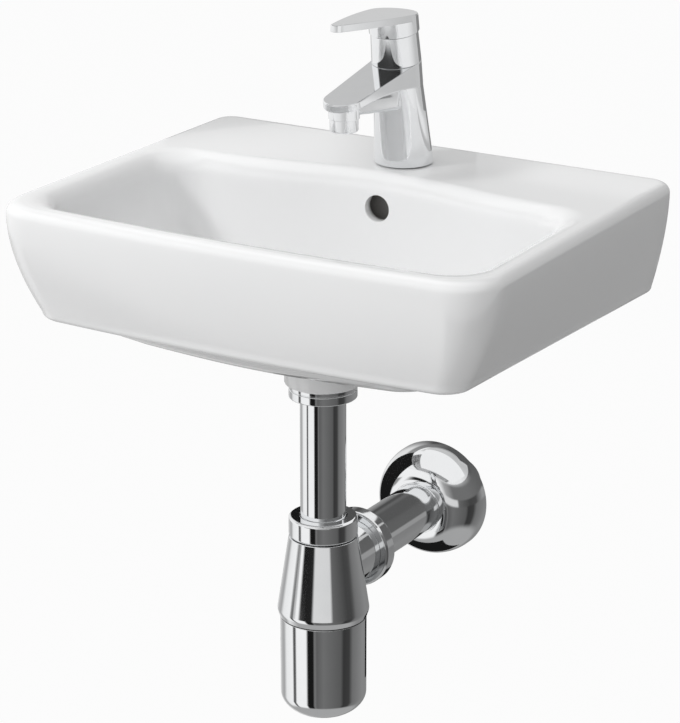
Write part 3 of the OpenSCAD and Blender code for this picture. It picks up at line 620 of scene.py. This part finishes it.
def hollow_top(outline):
    """The top of the hollow underside: higher behind, under the deck."""
    n = len(outline)
    low, high = RIM_Z - INNER_ROUND - HOLLOW_T, RIM_Z - DECK_T
    return [(x, y, mix(low, high, ease(1 - (min(i, n - i) - len(BACK)) / TURN)))
            for i, (x, y) in enumerate(outline)]


def basin_skin():
    """The basin's skin: drain, bowl, rim, apron, hollow underside and drain boss."""
    edge, back, low = bowl_outline(0), bowl_outline(BOWL_T), RIM_Z - APRON_H
    # Drain and recess
    rings = [at_z(circle_like(edge, r), z) for r, z in (
        (DRAIN_R, BOSS_Z + 1.2), (DRAIN_R, SEAT_Z - 1.2), (DRAIN_R + 0.4, SEAT_Z - 0.4),
        (DRAIN_R + 1.2, SEAT_Z), (RECESS_R - 0.5, SEAT_Z), (RECESS_R, SEAT_Z + 0.5),
        (RECESS_R, FLOOR - 0.8), (RECESS_R + 0.3, FLOOR - 0.25), (RECESS_R + 1, FLOOR))]
    # Bowl and its rounded edge
    shares = [0.06, 0.14, 0.24, 0.34, 0.44, 0.52]
    shares += [mix(BOWL_KNEE, 1, math.sin(math.radians(a))) for a in range(0, 91, 5)]
    rings += [at_z(merge(circle_like(edge, RECESS_R + 1), edge, s), bowl_z(s)) for s in shares]
    for a in range(10, 91, 10):
        t = math.radians(a)
        rings.append(at_z(merge(edge, crest_outline(), 1 - math.cos(t)),
                          RIM_Z - INNER_ROUND + INNER_ROUND * math.sin(t)))
    # Rim
    rim = outer(RIM_R, RIM_R, RIM_R, RIM_R / 2)
    rings += [at_z(merge(crest_outline(), rim, t), RIM_Z) for t in (0.03, 0.35, 0.65, 0.97)]
    for a in range(0, 91, 9):
        inset = RIM_R * (1 - math.sin(math.radians(a)))
        rings.append(at_z(outer(inset, inset, inset, inset / 2),
                          RIM_Z - RIM_R * (1 - math.cos(math.radians(a)))))
    # Apron, its lower edge and its inside
    rings += [at_z(apron(i / 18, 0, 0), apron_z(i / 18)) for i in range(1, 19)]
    for a in range(15, 91, 15):
        t = math.radians(a)
        inward, down = 1 - math.cos(t), 1 - math.sin(t)
        rings.append(at_z(apron(1, LOW_EDGE_R * inward, 1.2 * inward), low + LOW_EDGE_R * down))
    rings += [at_z(apron(1, APRON_T - t, APRON_T - t), low + rise)
              for t, rise in ((2, 0), (0.6, 0.4), (0, 2))]
    rings += [at_z(apron(t, APRON_T, APRON_T), apron_z(t)) for t in (1, 0.85, 0.7, 0.55, 0.4, 0.25)]
    rings += [hollow_top(apron(0.1, APRON_T, APRON_T)), hollow_top(back)]
    # Underside of the bowl and the drain boss
    rings += [at_z(merge(circle_like(back, BOSS_R + 12), back, s), bowl_z(s) - HOLLOW_T - 0.5)
              for s in (1, 0.985, 0.96, 0.92, 0.87, 0.8, 0.72, 0.62, 0.5, 0.36, 0.2)]
    under = FLOOR - HOLLOW_T
    rings += [at_z(circle_like(back, BOSS_R + r), z) for r, z in (
        (8, under - 1), (3.5, under - 3.5), (1, under - 8), (0, BOSS_Z + 8), (0, BOSS_Z + 1.5),
        (-0.5, BOSS_Z + 0.4), (-1.5, BOSS_Z))]
    rings += [at_z(circle_like(edge, DRAIN_R + r), BOSS_Z + rise)
              for r, rise in ((1.2, 0), (0.4, 0.4))]
    return ring_mesh("basin_skin", rings)


def channel_outline():
    """The overflow channel in side view."""
    back, low, end = CHANNEL_D - CHANNEL_Y, BOSS_Z + 8, DRAIN_R - DRAIN_Y - 2
    return [(-CHANNEL_Y, CHANNEL_TOP), (back, CHANNEL_TOP), (back, CHANNEL_ROOF + 4),
            (back - 28, low), (end, low), (end, CHANNEL_ROOF),
            (-CHANNEL_Y - 20, CHANNEL_ROOF), (-CHANNEL_Y, FLOOR + 22)]


def duct_outline():
    """The duct round the overflow channel in side view."""
    top, low, end = RIM_Z - DECK_T + 3, BOSS_Z + 8 - DUCT_SKIN, DRAIN_R - DRAIN_Y
    back = CHANNEL_D - CHANNEL_Y + DUCT_SKIN
    return [(-CHANNEL_Y - 4, top), (back, top), (back, CHANNEL_ROOF + 2), (back - 30, low),
            (end, low), (end, FLOOR - 5), (-CHANNEL_Y - 22, FLOOR - 5),
            (-CHANNEL_Y - 4, FLOOR + 30)]


def make_basin():
    basin = basin_skin()
    rework(basin.data, lambda work: bmesh.ops.triangulate(work, faces=work.faces))
    carve(basin, slab_across("duct", duct_outline(), CHANNEL_W / 2 + DUCT_SKIN), "UNION")
    carve(basin, slab_across("channel", channel_outline(), CHANNEL_W / 2))
    # The overflow hole opens with a softened lip
    lip_w, lip_r = 2.4, OVERFLOW_R + 2.4
    lip = [(OVERFLOW_R + lip_w * (1 - math.cos(a)), 8.2 + 2.6 * math.sin(a), 0)
           for a in [math.pi / 2 * i / 6 for i in range(7)]]
    carve(basin, turned("overflow", [
        (0, 0, 0), (OVERFLOW_R, 0, 0), *lip, (lip_r, 20, 0), (0, 20, 0)],
        upright(CHANNEL_Y - 1, OVERFLOW_Z) @ tilt(90), 96))
    wide = TAP_HOLE_R + 0.8
    carve(basin, turned("tap_way", [
        (0, -20, 0), (TAP_HOLE_R, -20, 0), (TAP_HOLE_R, -0.8, 0), (wide, 0, 0), (wide, 5, 0),
        (0, 5, 0)], upright(TAP_Y, RIM_Z), 96))
    for side in (-1, 1):
        place = Matrix.Translation((side * FIXING_PITCH / 2, 0, 0)) @ tilt(90)
        carve(basin, rod("bolt_way", FIXING_R, -5, 20, place))
    basin.name = "basin_shell"
    dress(basin, "glazed", "basin", "basin", crease=32)


make_basin()


# ---- Tap ----

def outline_slab(name, half, thickness, soft, place):
    """A slab with rounded edges, from a half outline of (width, forward) points.

    Its flat top is at z 0, and its thickness is a function of the distance forward.
    """
    full = [(w, -f) for w, f in half] + [(-w, -f) for w, f in half[::-1]]
    n = len(full)
    normals = []
    for i in range(n):
        d = (Vector(full[(i + 1) % n]) - Vector(full[i - 1])).normalized()
        normals.append(Vector((-d.y, d.x)))
    round_edge = [(soft * (1 - math.sin(a)), soft * (1 - math.cos(a)))
                  for a in [math.pi / 2 * i / 5 for i in range(6)]]
    steps = [(soft * 1.8, 0), (soft * 1.15, 0)] + round_edge + [(0, soft * 1.4)]

    def ring(inset, height):
        return [(x - m.x * inset, y - m.y * inset, height(y)) for (x, y), m in zip(full, normals)]

    rings = [ring(inset, lambda y: -drop) for inset, drop in steps]
    rings += [ring(inset, lambda y: drop - thickness(-y)) for inset, drop in steps[::-1]]
    return ring_mesh(name, rings, place, closed=False)


def open_ends(half, gap):
    """Keeps the two ends of a half outline a little off the middle line."""
    return [(gap, half[0][1])] + half[1:-1] + [(gap, half[-1][1])]


def spout_half():
    """Half outline of the spout's slab: round its back, along its side and round its end."""
    lift = math.asin((COLLAR_R - SPOUT_R) / SPOUT_F)
    collar = arc(COLLAR_R, -math.pi / 2, lift, 18)
    tip = arc(SPOUT_R, lift, math.pi / 2, 14, SPOUT_F)
    (x_a, f_a), (x_b, f_b) = collar[-1], tip[0]
    side = [(mix(x_a, x_b, t / 14), mix(f_a, f_b, t / 14)) for t in range(1, 14)]
    return open_ends(collar + side + tip, 0.4)


def spout_thickness(f):
    t = max(0, min(1, f / (SPOUT_F + 4)))
    return SPOUT_T + (COLLAR_T - SPOUT_T) * (1 - t) ** 2


def foot_radius(s):
    """The body's radius at a height along its axis."""
    return mix(FOOT_R, SHOULDER_R, (s - TAPER_LOW) / (TAPER_TOP - TAPER_LOW))


def tap_foot():
    """The leaning body, with its foot cut level with the deck."""
    n, lean_angle = LATHE_STEPS, math.radians(TAP_LEAN)
    rings = []
    for inset, rise in ((3, 0), (1.3, 0), (0.8, 0.15), (0.3, 0.5), (0, 1.1)):
        ring = []
        for i in range(n):
            a = math.tau * i / n
            forward = (foot_radius(0) - inset) * math.sin(a)
            s = (FOOT_GAP + rise) / math.cos(lean_angle) + forward * math.tan(lean_angle)
            r = foot_radius(s) - inset
            ring.append((r * math.cos(a), -r * math.sin(a), s))
        rings.append(ring)
    for s in (12, 25, 40, 55, BODY_CORE_TOP):
        rings.append([(x, -f, s) for x, f in round_points(foot_radius(s), n)])
    points = [p for ring in rings for p in ring] + [(0, 0, FOOT_GAP), (0, 0, BODY_CORE_TOP)]
    last, bottom, top = (len(rings) - 1) * n, len(points) - 2, len(points) - 1
    faces = [(j * n + i, j * n + (i + 1) % n, (j + 1) * n + (i + 1) % n, (j + 1) * n + i)
             for j in range(len(rings) - 1) for i in range(n)]
    faces += [((i + 1) % n, i, bottom) for i in range(n)]
    faces += [(last + i, last + (i + 1) % n, top) for i in range(n)]
    return mesh_object("tap_foot", points, faces, lean())


def make_tap_body():
    body = tap_foot()
    spout = outline_slab("spout", spout_half(), spout_thickness, 0.9, lean(BODY_H))
    carve(body, spout, "UNION")
    carve(body, turned("neck", [
        (0, NECK_LOW, 0), (NECK_R, NECK_LOW, 0), (NECK_R, NECK_TOP, 0.5), (0, NECK_TOP, 0)],
        lean()), "UNION")
    # The keel carries the aerator's seat
    on_body = ((54, 3), (55, 1), (57, 0), (84, 0))
    on_spout = ((130, 3), (130.6, 1), (132, 0), (SPOUT_UNDER + 2, 0))
    carve(body, rounds_hull("keel", [
        (lean(), [(-8, z, AERATOR_R - less) for z, less in on_body]),
        (upright(AERATOR_Y), [(0, z, AERATOR_R - less) for z, less in on_spout])]), "UNION")
    carve(body, turned("aerator_seat", [
        (0, AERATOR_TOP, 0), (AERATOR_R + 1, AERATOR_TOP, 0.4), (AERATOR_R + 1, SPOUT_UNDER + 3, 0),
        (0, SPOUT_UNDER + 3, 0)], upright(AERATOR_Y)), "UNION")
    carve(body, turned("aerator_way", [
        (0, 110, 0), (AERATOR_R + 0.3, 110, 0), (AERATOR_R + 0.3, AERATOR_TOP, 0),
        (10.45, AERATOR_TOP, 0), (10.45, 133.5, 0), (7, 133.5, 0), (7, 136, 0), (0, 136, 0)],
        upright(AERATOR_Y)))
    carve(body, turned("cartridge_way", [
        (0, 71, 0), (CARTRIDGE_R, 71, 0), (CARTRIDGE_R, 96.5, 0), (CARTRIDGE_NUT_R, 96.5, 0),
        (CARTRIDGE_NUT_R, 110, 0), (0, 110, 0)], lean()))
    carve(body, rod("foot_way", TAP_HOLE_R + 0.5, -5, 28, upright(TAP_Y, RIM_Z)))
    body.name = "tap_casting"
    dress(body, "chrome", "basin", "tap_body", crease=30)


def leaf_half():
    """Half outline of the lever: round the cap's back, along the leaf and round its tip."""
    wide = CAP_R - 0.4
    cap = arc(wide, -math.pi / 2, 0, 24)
    leaf = [(mix(wide, LEVER_TIP_R, (t / 30) ** 1.6), LEVER_END * t / 30) for t in range(1, 31)]
    tip = arc(LEVER_TIP_R, 0, math.pi / 2, 12, LEVER_END, first=1)
    return open_ends(cap + leaf + tip, 0.3)


def lever_skirt(grow=0):
    """The outside of the lever's cap."""
    return turned("skirt", [(0, SKIRT_LOW, 0), (CAP_R + grow, SKIRT_LOW, 0.4),
                            (CAP_R - 0.3 + grow, 150, 0), (0, 150, 0)], lean())


def make_lever():
    lever = outline_slab("leaf", leaf_half(), lambda f: LEVER_T, 0.4, lever_top())
    skirt = lever_skirt()
    carve(skirt, block("above", (-60, -60, -1.2), (60, 60, 80), lever_top()))
    carve(lever, skirt, "UNION")
    carve(lever, rod("hollow", SLEEVE_R + 0.2, SKIRT_LOW - 1, CEILING, lean()))
    boss_r, boss_low, in_ceiling = 5.8, 115.5, CEILING + 1
    carve(lever, turned("boss", [
        (0, boss_low, 0), (boss_r, boss_low, 0.4), (boss_r, in_ceiling, 0), (0, in_ceiling, 0)],
        lean()), "UNION")
    carve(lever, block("stem_way", (-3, -3, PIVOT_S), (3, 3, CEILING - 2), lean()))
    across = lean(CEILING - 1.8) @ tilt(90)
    carve(lever, rod("screw_way", 2.2, 0, 40, across, 48))
    carve(lever, rod("plug_way", 3.1, CAP_R - 6, 40, across, 48))
    lever.name = "lever_casting"
    dress(lever, "chrome", "lever", "lever_handle", crease=30)
    # The screw's cover follows the cap's curve
    cover = rod("screw_cover", 3, CAP_R - 5.9, 40, across, 64)
    carve(cover, lever_skirt(-0.04), "INTERSECT")
    dress(cover, "chrome", "lever", "lever_plug")


make_tap_body()
make_lever()

SLEEVE_BORE_R, SLEEVE_LOW = NECK_R + 0.05, BODY_H + 0.15
dress(turned("sleeve", [
    (COLLAR_R, SLEEVE_LOW, 0.3), (SLEEVE_R, SLEEVE_TOP, 0.5), (13, 122.2, 0.3), (12, 121.8, 0),
    (12, 121.2, 0), (SLEEVE_BORE_R, SLEEVE_TOP - 2.5, 0), (SLEEVE_BORE_R, SLEEVE_LOW, 0)],
    lean()), "chrome", "basin", "cartridge_sleeve")

dress(turned("aerator", [
    (AERATOR_R - 1.2, 0, 0.3), (AERATOR_R, 1.2, 0.3), (AERATOR_R, AERATOR_H, 0.2),
    (10.4, AERATOR_H, 0), (10.4, 17, 0.3), (8.55, 17, 0), (8.55, 1.2, 0), (7.5, 1.2, 0),
    (7.5, 0, 0.3)], upright(AERATOR_Y, MOUTH_Z)), "chrome", "basin", "aerator_housing")


# ---- Waste, tubes and trap ----

waste = turned("waste", [
    (32.3, WASTE_RIM_Z, 0), (32.5, -51.4, 0.2), (31.6, -49.8, 0.6), (22, -49.9, 0.8),
    (19.7, -51, 0.8), (19.7, TAIL_LOW, 0), (TAIL_R, TAIL_LOW, 0.4), (TAIL_R, WASTE_RIM_Z, 0)],
    upright(DRAIN_Y))
for turn in (0, 90):
    slot_place = upright(DRAIN_Y) @ Matrix.Rotation(math.radians(turn), 4, "Z")
    carve(waste, block("slot", (-40, -5, -84), (40, 5, -70), slot_place))
dress(waste, "chrome", "basin", "waste_body")

dress(turned("waste_collar", [
    (29, -94.6, 0.5), (29, -97.6, 0.2), (28.6, -98, 0), (28.6, -98.6, 0), (29, -99, 0.2),
    (29, -106.1, 1.2), (TUBE_WAY_R, -106.1, 0.4), (TUBE_WAY_R, -104.2, 0), (22.05, -104.2, 0),
    (22.05, -98, 0), (27.3, -98, 0), (27.3, -94.6, 0.3)],
    upright(DRAIN_Y)), "chrome", "basin", "waste_nut")

dress(turned("plug", [
    (0, -37.5, 0), (20, -37.6, 4), (27, -38.4, 1.5), (29, -39.6, 0.8), (26.2, -41.5, 0.6),
    (6.5, -41.5, 0.4), (6.5, -47.5, 0.5), (4, -47.5, 0), (4, -40.5, 0), (0, -40.5, 0)],
    upright(DRAIN_Y)), "chrome", "plug", "plug_cap")

dress(turned("down_tube", [
    (TUBE_R, TUBE_TOP, 0.3), (TUBE_R, TUBE_LOW, 0.3), (TUBE_R - TUBE_WALL, TUBE_LOW, 0.3),
    (TUBE_R - TUBE_WALL, TUBE_TOP, 0.3)], upright(DRAIN_Y)), "chrome", "basin", "inlet_tube")

dress(turned("upper_nut", [
    (28.4, -231, 0.8), (29.5, -229.4, 0.6), (29.5, -214.8, 0.8), (28, -213, 0.8),
    (20.4, -213, 0.5), (TUBE_WAY_R, -213.6, 0), (TUBE_WAY_R, -217, 0), (25.55, -217, 0),
    (25.55, -231, 0.3)], upright(DRAIN_Y)), "chrome", "basin", "trap_nut")


def make_trap_body():
    trap = turned("cone", [
        (0, -222, 0), (25.5, -222, 0.5), (25.5, CONE_TOP, 0), (29.5, CONE_TOP, 0.5),
        (39.5, CONE_LOW, 1.6), (37.5, BODY_LOW, 0.5), (0, BODY_LOW, 0)], upright(DRAIN_Y))
    branch_r, branch_end = 27.5, 61
    carve(trap, turned("branch", [
        (0, 0, 0), (branch_r, 0, 0), (branch_r, branch_end, 0.6), (0, branch_end, 0)],
        along_outlet()), "UNION")
    carve(trap, turned("cone_way", [
        (0, -310, 0), (34.5, -310, 0), (34.5, -296, 0), (36.9, -296, 0), (27, -234.5, 0),
        (TUBE_WAY_R, -234.5, 0), (TUBE_WAY_R, -215, 0), (0, -215, 0)], upright(DRAIN_Y)))
    carve(trap, rod("branch_way", 22.8, 0, 70, along_outlet()))
    trap.name = "trap_casting"
    dress(trap, "chrome", "basin", "trap_body", crease=30)


def make_cup():
    """The cup: a domed bottom, a straight wall and a threaded neck."""
    inner_r, inner_dome, bottom = CUP_R - CUP_WALL, CUP_DOME - CUP_WALL, CUP_TOP - CUP_H
    dome = [math.radians(a) for a in range(0, 90, 6)]
    inside = [(inner_r * math.cos(a), bottom - inner_dome * math.sin(a), 0) for a in dome[::-1]]
    outside = [(CUP_R * math.cos(a), bottom - CUP_DOME * math.sin(a), 0) for a in dome]
    neck_low, neck_top = CUP_TOP - 5, CUP_TOP + 9
    neck = [(inner_r, neck_low, 0), (CUP_BORE_R, neck_low, 0), (CUP_BORE_R, neck_top, 0.3),
            (THREAD_R, neck_top, 0.3), (THREAD_R, CUP_TOP, 0), (CUP_R, CUP_TOP, 0.5)]
    profile = [(0, bottom - inner_dome, 0)] + inside + neck + outside + [(0, bottom - CUP_DOME, 0)]
    dress(turned("cup", profile, upright(DRAIN_Y)), "chrome", "cup", "trap_cup")


make_trap_body()
make_cup()

dress(turned("outlet_collar", [
    (32.8, 0, 0.6), (34.3, 2, 0.8), (34.3, 13, 0.8), (32.8, 15, 0.6), (22.8, 15, 0.4),
    (22.8, 13, 0), (27.55, 13, 0), (27.55, 0, 0.4)],
    along_outlet(50)), "chrome", "basin", "outlet_nut")

dress(turned("wall_tube", [
    (22.5, 0, 0.3), (22.5, 158, 0), (OUTLET_R, 158.2, 0), (OUTLET_R, 203, 0.3),
    (OUTLET_BORE_R, 203, 0.3), (OUTLET_BORE_R, 0, 0.3)],
    along_outlet(42)), "chrome", "basin", "outlet_tube")


def bell_curve(wide_r, near):
    """A quarter curve from the flange's neck to its wide edge, near and far along the outlet."""
    return [(mix(FLANGE_NECK_R, wide_r, math.sin(a)), mix(near, FLANGE_D - 4, 1 - math.cos(a)), 0)
            for a in [math.pi / 2 * i / 24 for i in range(25)]]


inner_edge = FLANGE_R - FLANGE_T
dress(turned("wall_bell", [
    (FLANGE_BORE_R, 0, 0.2), (FLANGE_NECK_R - 0.2, 0, 0.2), *bell_curve(FLANGE_R, 1),
    (FLANGE_R, FLANGE_D, 0.4), (inner_edge, FLANGE_D, 0.3), *bell_curve(inner_edge, 2.2)[::-1],
    (FLANGE_NECK_R, 4, 0), (FLANGE_BORE_R, 4, 0)],
    along_outlet(DRAIN_Y - FLANGE_D)), "chrome", "flange", "wall_flange")


# ---- The plug's spring, made with Geometry Nodes ----

def grown(name, inputs, build, slot):
    """A piece that a Geometry Nodes tree makes, turned into a plain mesh."""
    tree = bpy.data.node_groups.new(name, "GeometryNodeTree")
    ids = {}
    for key, value in inputs.items():
        kind = "NodeSocketInt" if isinstance(value, int) else "NodeSocketFloat"
        socket = tree.interface.new_socket(key, in_out="INPUT", socket_type=kind)
        ids[key] = socket.identifier
    tree.interface.new_socket("Geometry", in_out="OUTPUT", socket_type="NodeSocketGeometry")
    board = Board(tree)
    made = build(board, {key: board.add("NodeGroupInput", out=key) for key in inputs})
    made = board.add("GeometryNodeRealizeInstances", None, [made])
    made = board.add("GeometryNodeSetMaterial", None,
                     {"Geometry": made, "Material": FINISHES[slot]})
    board.add("NodeGroupOutput", None, [made])
    piece = new_piece(name, bpy.data.meshes.new(name))
    step = piece.modifiers.new("grow", "NODES")
    step.node_group = tree
    for key, value in inputs.items():
        step[ids[key]] = value
    bpy.context.view_layer.update()
    settle(piece)
    return piece


def coil(board, sizes):
    path = board.add("GeometryNodeCurveSpiral", None, {
        "Resolution": 40, "Rotations": sizes["Turns"], "Start Radius": sizes["Radius"],
        "End Radius": sizes["Radius"], "Height": sizes["Height"]})
    wire = board.add("GeometryNodeCurvePrimitiveCircle", None,
                     {"Resolution": 10, "Radius": sizes["Wire"]})
    return board.add("GeometryNodeCurveToMesh", None,
                     {"Curve": path, "Profile Curve": wire, "Fill Caps": True})


# Metres, as is the place of the coil's foot
COIL_SIZES = {"Turns": 4.0, "Radius": 0.0066, "Height": 0.0117, "Wire": 0.0008}
spring = grown("plug_coil", COIL_SIZES, coil, "steel")
spring.data.transform(Matrix.Translation((0, -DRAIN_Y * MM, -0.0601)))
dress(spring, "steel", "basin", "plug_spring", crease=60)
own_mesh(spring)


# ---- CAD nodes that keep their shape ----

for node, piece in frame["nodes"].items():
    if not piece.hide_render:
        for holder in piece.material_slots:
            holder.material = FINISHES[slot_of[node]]


# ---- Studio ----

# Levels of grey round the set, each at its angle from the camera's side, to the right
SET_BELOW = [
    (-180, .3), (-168, .8), (-150, .5), (-132, .4), (-118, .9), (-92, .98), (-88, .1), (-82, .1),
    (-78, .98), (-48, .98), (-43, .01), (-28, .01), (-24, .2), (-18, .12), (0, .17), (48, .11),
    (56, .04), (74, .05), (86, .17), (130, .26), (160, .24), (180, .3)]
SET_LEVEL = [
    (-180, .1), (-160, .9), (-88, .98), (-84, .3), (-76, .3), (-72, .98), (-66, .98), (-60, .01),
    (-30, .02), (-24, .75), (18, .72), (24, .14), (62, .06), (84, .07), (112, .33), (180, .1)]
SET_RAISED = [
    (-180, .08), (-160, .8), (-110, .98), (-28, .96), (-14, .4), (10, .17), (60, .17),
    (110, .13), (180, .08)]
SET_HIGH = [
    (-180, .2), (-120, .4), (-60, .9), (-10, .6), (40, .4), (75, .3), (105, .1), (160, .1),
    (180, .2)]
TENT_LOW = [
    (-180, .4), (-170, .95), (-60, .92), (-30, .82), (-16, .65), (0, .58), (12, .9), (60, .9),
    (76, .8), (98, .6), (111, .56), (118, .6), (124, .6), (134, .5), (165, .34), (180, .4)]
TENT_MIDDLE = [
    (-180, .64), (-160, .64), (-152, .95), (-96, 1), (-88, .05), (-20, .04), (8, .03), (14, .3),
    (22, .8), (70, .75), (100, .6), (130, .55), (150, .6), (180, .64)]
TENT_HIGH = [
    (-180, .57), (-160, .6), (-152, .97), (-60, .95), (0, .6), (20, .45), (40, .58), (100, .6),
    (150, .6), (180, .57)]
BLACK, WHITE = 0.01, 0.95
SOFT_SKY = (-0.187, -0.502, 0.844)      # where the pale part of the sky is

TENT_R, TENT_TOP = 400, 600
TENT_OPENING, TENT_OVER_OPENING = (122, 215), 130
FLOOR_Z, FLOOR_HALF = -785, 6000
KEY_PLACE, KEY_AIM, KEY_SIZE, KEY_WATTS = (-1.71, -2.54, 1.75), (0, -0.18, 0), 0.5, 31


def from_camera(board, direction):
    """A direction's angle from the camera's side, as a share of a circle, and its height."""
    direction = board.add("ShaderNodeVectorRotate", {"rotation_type": "Z_AXIS"},
                          {"Vector": direction, "Angle": -math.radians(CAMERA_TURN)})
    x, y, z = board.parts(direction)
    return x.maths("ARCTAN2", x, 0 - y) / math.tau + 0.5, z


def levels_round(board, turn, levels):
    stops = [((angle + 180) / 360, level) for angle, level in levels]
    return board.add("ShaderNodeValToRGB", {"stops": stops}, [turn])


def studio_world():
    """A white studio. Chrome sees it with dark cards and soft boxes round the set."""
    world = bpy.data.worlds.new("studio")
    bpy.context.scene.world = world
    world.use_nodes = True
    board = Board(world.node_tree)
    ray = board.add("ShaderNodeTexCoord", out="Generated")
    turn, z = from_camera(board, ray)
    rise = z.maths("ARCSINE", z) * (180 / math.pi)
    below, level, raised, high = [levels_round(board, turn, levels)
                                  for levels in (SET_BELOW, SET_LEVEL, SET_RAISED, SET_HIGH)]
    seen = below
    for start, end, beyond in ((-12, -8, level), (0, 4, raised), (24, 32, high),
                               (-40, -52, grey(0.4)), (52, 62, grey(1.0))):
        seen = board.tint(board.step(rise, start, end), seen, beyond)
    over = board.add("ShaderNodeVectorMath", {"operation": "DOT_PRODUCT"}, [ray, SOFT_SKY],
                     out="Value")
    sky = board.tint(board.step(over, 0.17, 0.33), grey(0.02), grey(0.93))
    light = board.tint(board.add("ShaderNodeLightPath", out="Is Diffuse Ray"), grey(1.0), sky)
    light = board.tint(board.add("ShaderNodeLightPath", out="Is Glossy Ray"), light, seen)
    background = board.add("ShaderNodeBackground", None, {"Color": light, "Strength": 1.0})
    board.add("ShaderNodeOutputWorld", None, {"Surface": background})


def light_card(name, points, shade, faces=((0, 1, 2, 3),)):
    """A card that only polished surfaces see. Its shade is a level of grey or a function."""
    card = mesh_object(name, points, faces)
    material, board = new_board(name)
    place = board.add("ShaderNodeTexCoord", out="Object")
    colour = shade(board, place) if callable(shade) else grey(shade)
    glow = board.add("ShaderNodeEmission", None, {"Color": colour, "Strength": 1.0})
    board.add("ShaderNodeOutputMaterial", None, {"Surface": glow})
    card.data.materials.append(material)
    for ray in ("camera", "diffuse", "transmission", "volume_scatter", "shadow"):
        setattr(card, "visible_" + ray, False)


def tent_shade(board, place):
    """Levels round the tap's tent, in three rows one above another."""
    place = board.add("ShaderNodeMapping", None,
                      {"Vector": place, "Location": (0, TAP_Y * MM, 0)})
    turn, z = from_camera(board, place)
    low, middle, high = [levels_round(board, turn, levels)
                         for levels in (TENT_LOW, TENT_MIDDLE, TENT_HIGH)]
    return board.tint(board.step_mm(z, 320, 360),
                      board.tint(board.step_mm(z, 180, 192), low, middle), high)


def deck_shade(board, place):
    """White above for the deck, and pale grey below for the spout's side."""
    side, _, height = board.parts(place)
    lit = board.step_mm(side, 30, 100) * board.step_mm(height, 98, 84)
    for_deck = board.tint(lit, grey(0.6), grey(0.86))
    return board.tint(board.step_mm(height, 66, 74), grey(0.5), for_deck)


def rectangle(low, high):
    """The corners of a rectangle, in order."""
    return [(low[0], low[1]), (high[0], low[1]), (high[0], high[1]), (low[0], high[1])]


def make_cards():
    """A tent round the tap, three cards by the wall flange and one behind the deck."""
    n = 96
    points = []
    for i in range(n + 1):
        turn = math.radians(CAMERA_TURN) + math.tau * i / n
        behind = TENT_OPENING[0] < math.degrees(math.tau * i / n) < TENT_OPENING[1]
        foot = TENT_OVER_OPENING if behind else 0
        points += [(TENT_R * math.sin(turn), -TAP_Y - TENT_R * math.cos(turn), z)
                   for z in (foot, TENT_TOP)]
    faces = [(i, i + 2, i + 3, i + 1) for i in range(0, 2 * n, 2)]
    light_card("tap_tent", points, tent_shade, faces)
    beside = rectangle((-112, OUTLET_Z - 150), (20, OUTLET_Z + 150))
    light_card("flange_flag", [(-120, y, z) for y, z in beside], BLACK)
    light_card("flange_card", [(x, y, -104) for x, y in rectangle((-70, -160), (190, 40))], WHITE)
    light_card("flange_base", [(x, y, -412) for x, y in rectangle((-160, -80), (35, 60))], BLACK)
    light_card("deck_card", [(x, 12, z) for x, z in rectangle((30, -20), (222, 98))], deck_shade)


def make_floor():
    """A pale floor that shows as white to the camera and keeps a soft shadow."""
    floor = block("floor", (-FLOOR_HALF, -FLOOR_HALF, FLOOR_Z - 10),
                  (FLOOR_HALF, FLOOR_HALF, FLOOR_Z))
    material, board = new_board("pale_floor")
    paper = board.add("ShaderNodeBsdfDiffuse", None, {"Color": grey(0.5)})
    bright = board.add("ShaderNodeEmission", None, {"Color": grey(1.0), "Strength": 1.0})
    camera_ray = board.add("ShaderNodeLightPath", out="Is Camera Ray")
    mixed = board.add("ShaderNodeMixShader", None, [camera_ray * 0.95, paper, bright])
    board.add("ShaderNodeOutputMaterial", None, {"Surface": mixed})
    floor.data.materials.append(material)
    floor.visible_glossy = False


def make_key_light():
    lamp = bpy.data.lights.new("key", "AREA")
    lamp.shape = "SQUARE"
    lamp.size = KEY_SIZE
    lamp.energy = KEY_WATTS
    key = new_piece("key", lamp)
    key.location = KEY_PLACE
    aim = Vector(KEY_AIM) - Vector(KEY_PLACE)
    key.rotation_euler = aim.to_track_quat("-Z", "Y").to_euler()
    key.visible_glossy = False


def make_camera():
    lens = bpy.data.cameras.new("photo_view")
    lens.lens = CAMERA_LENS
    lens.sensor_width = CAMERA_SENSOR
    lens.clip_start = 0.05
    lens.clip_end = 50
    camera = new_piece("photo_view", lens)
    turn, rise = math.radians(CAMERA_TURN), math.radians(CAMERA_RISE)
    back = Vector((math.sin(turn) * math.cos(rise), -math.cos(turn) * math.cos(rise),
                   math.sin(rise)))
    camera.location = Vector(CAMERA_AIM) + back * CAMERA_DISTANCE
    camera.rotation_euler = (-back).to_track_quat("-Z", "Y").to_euler()
    bpy.context.scene.camera = camera


studio_world()
make_cards()
make_floor()
make_key_light()
make_camera()

scene = bpy.context.scene
scene.view_settings.view_transform = "Standard"
scene.unit_settings.system = "METRIC"

bpy.context.view_layer.update()
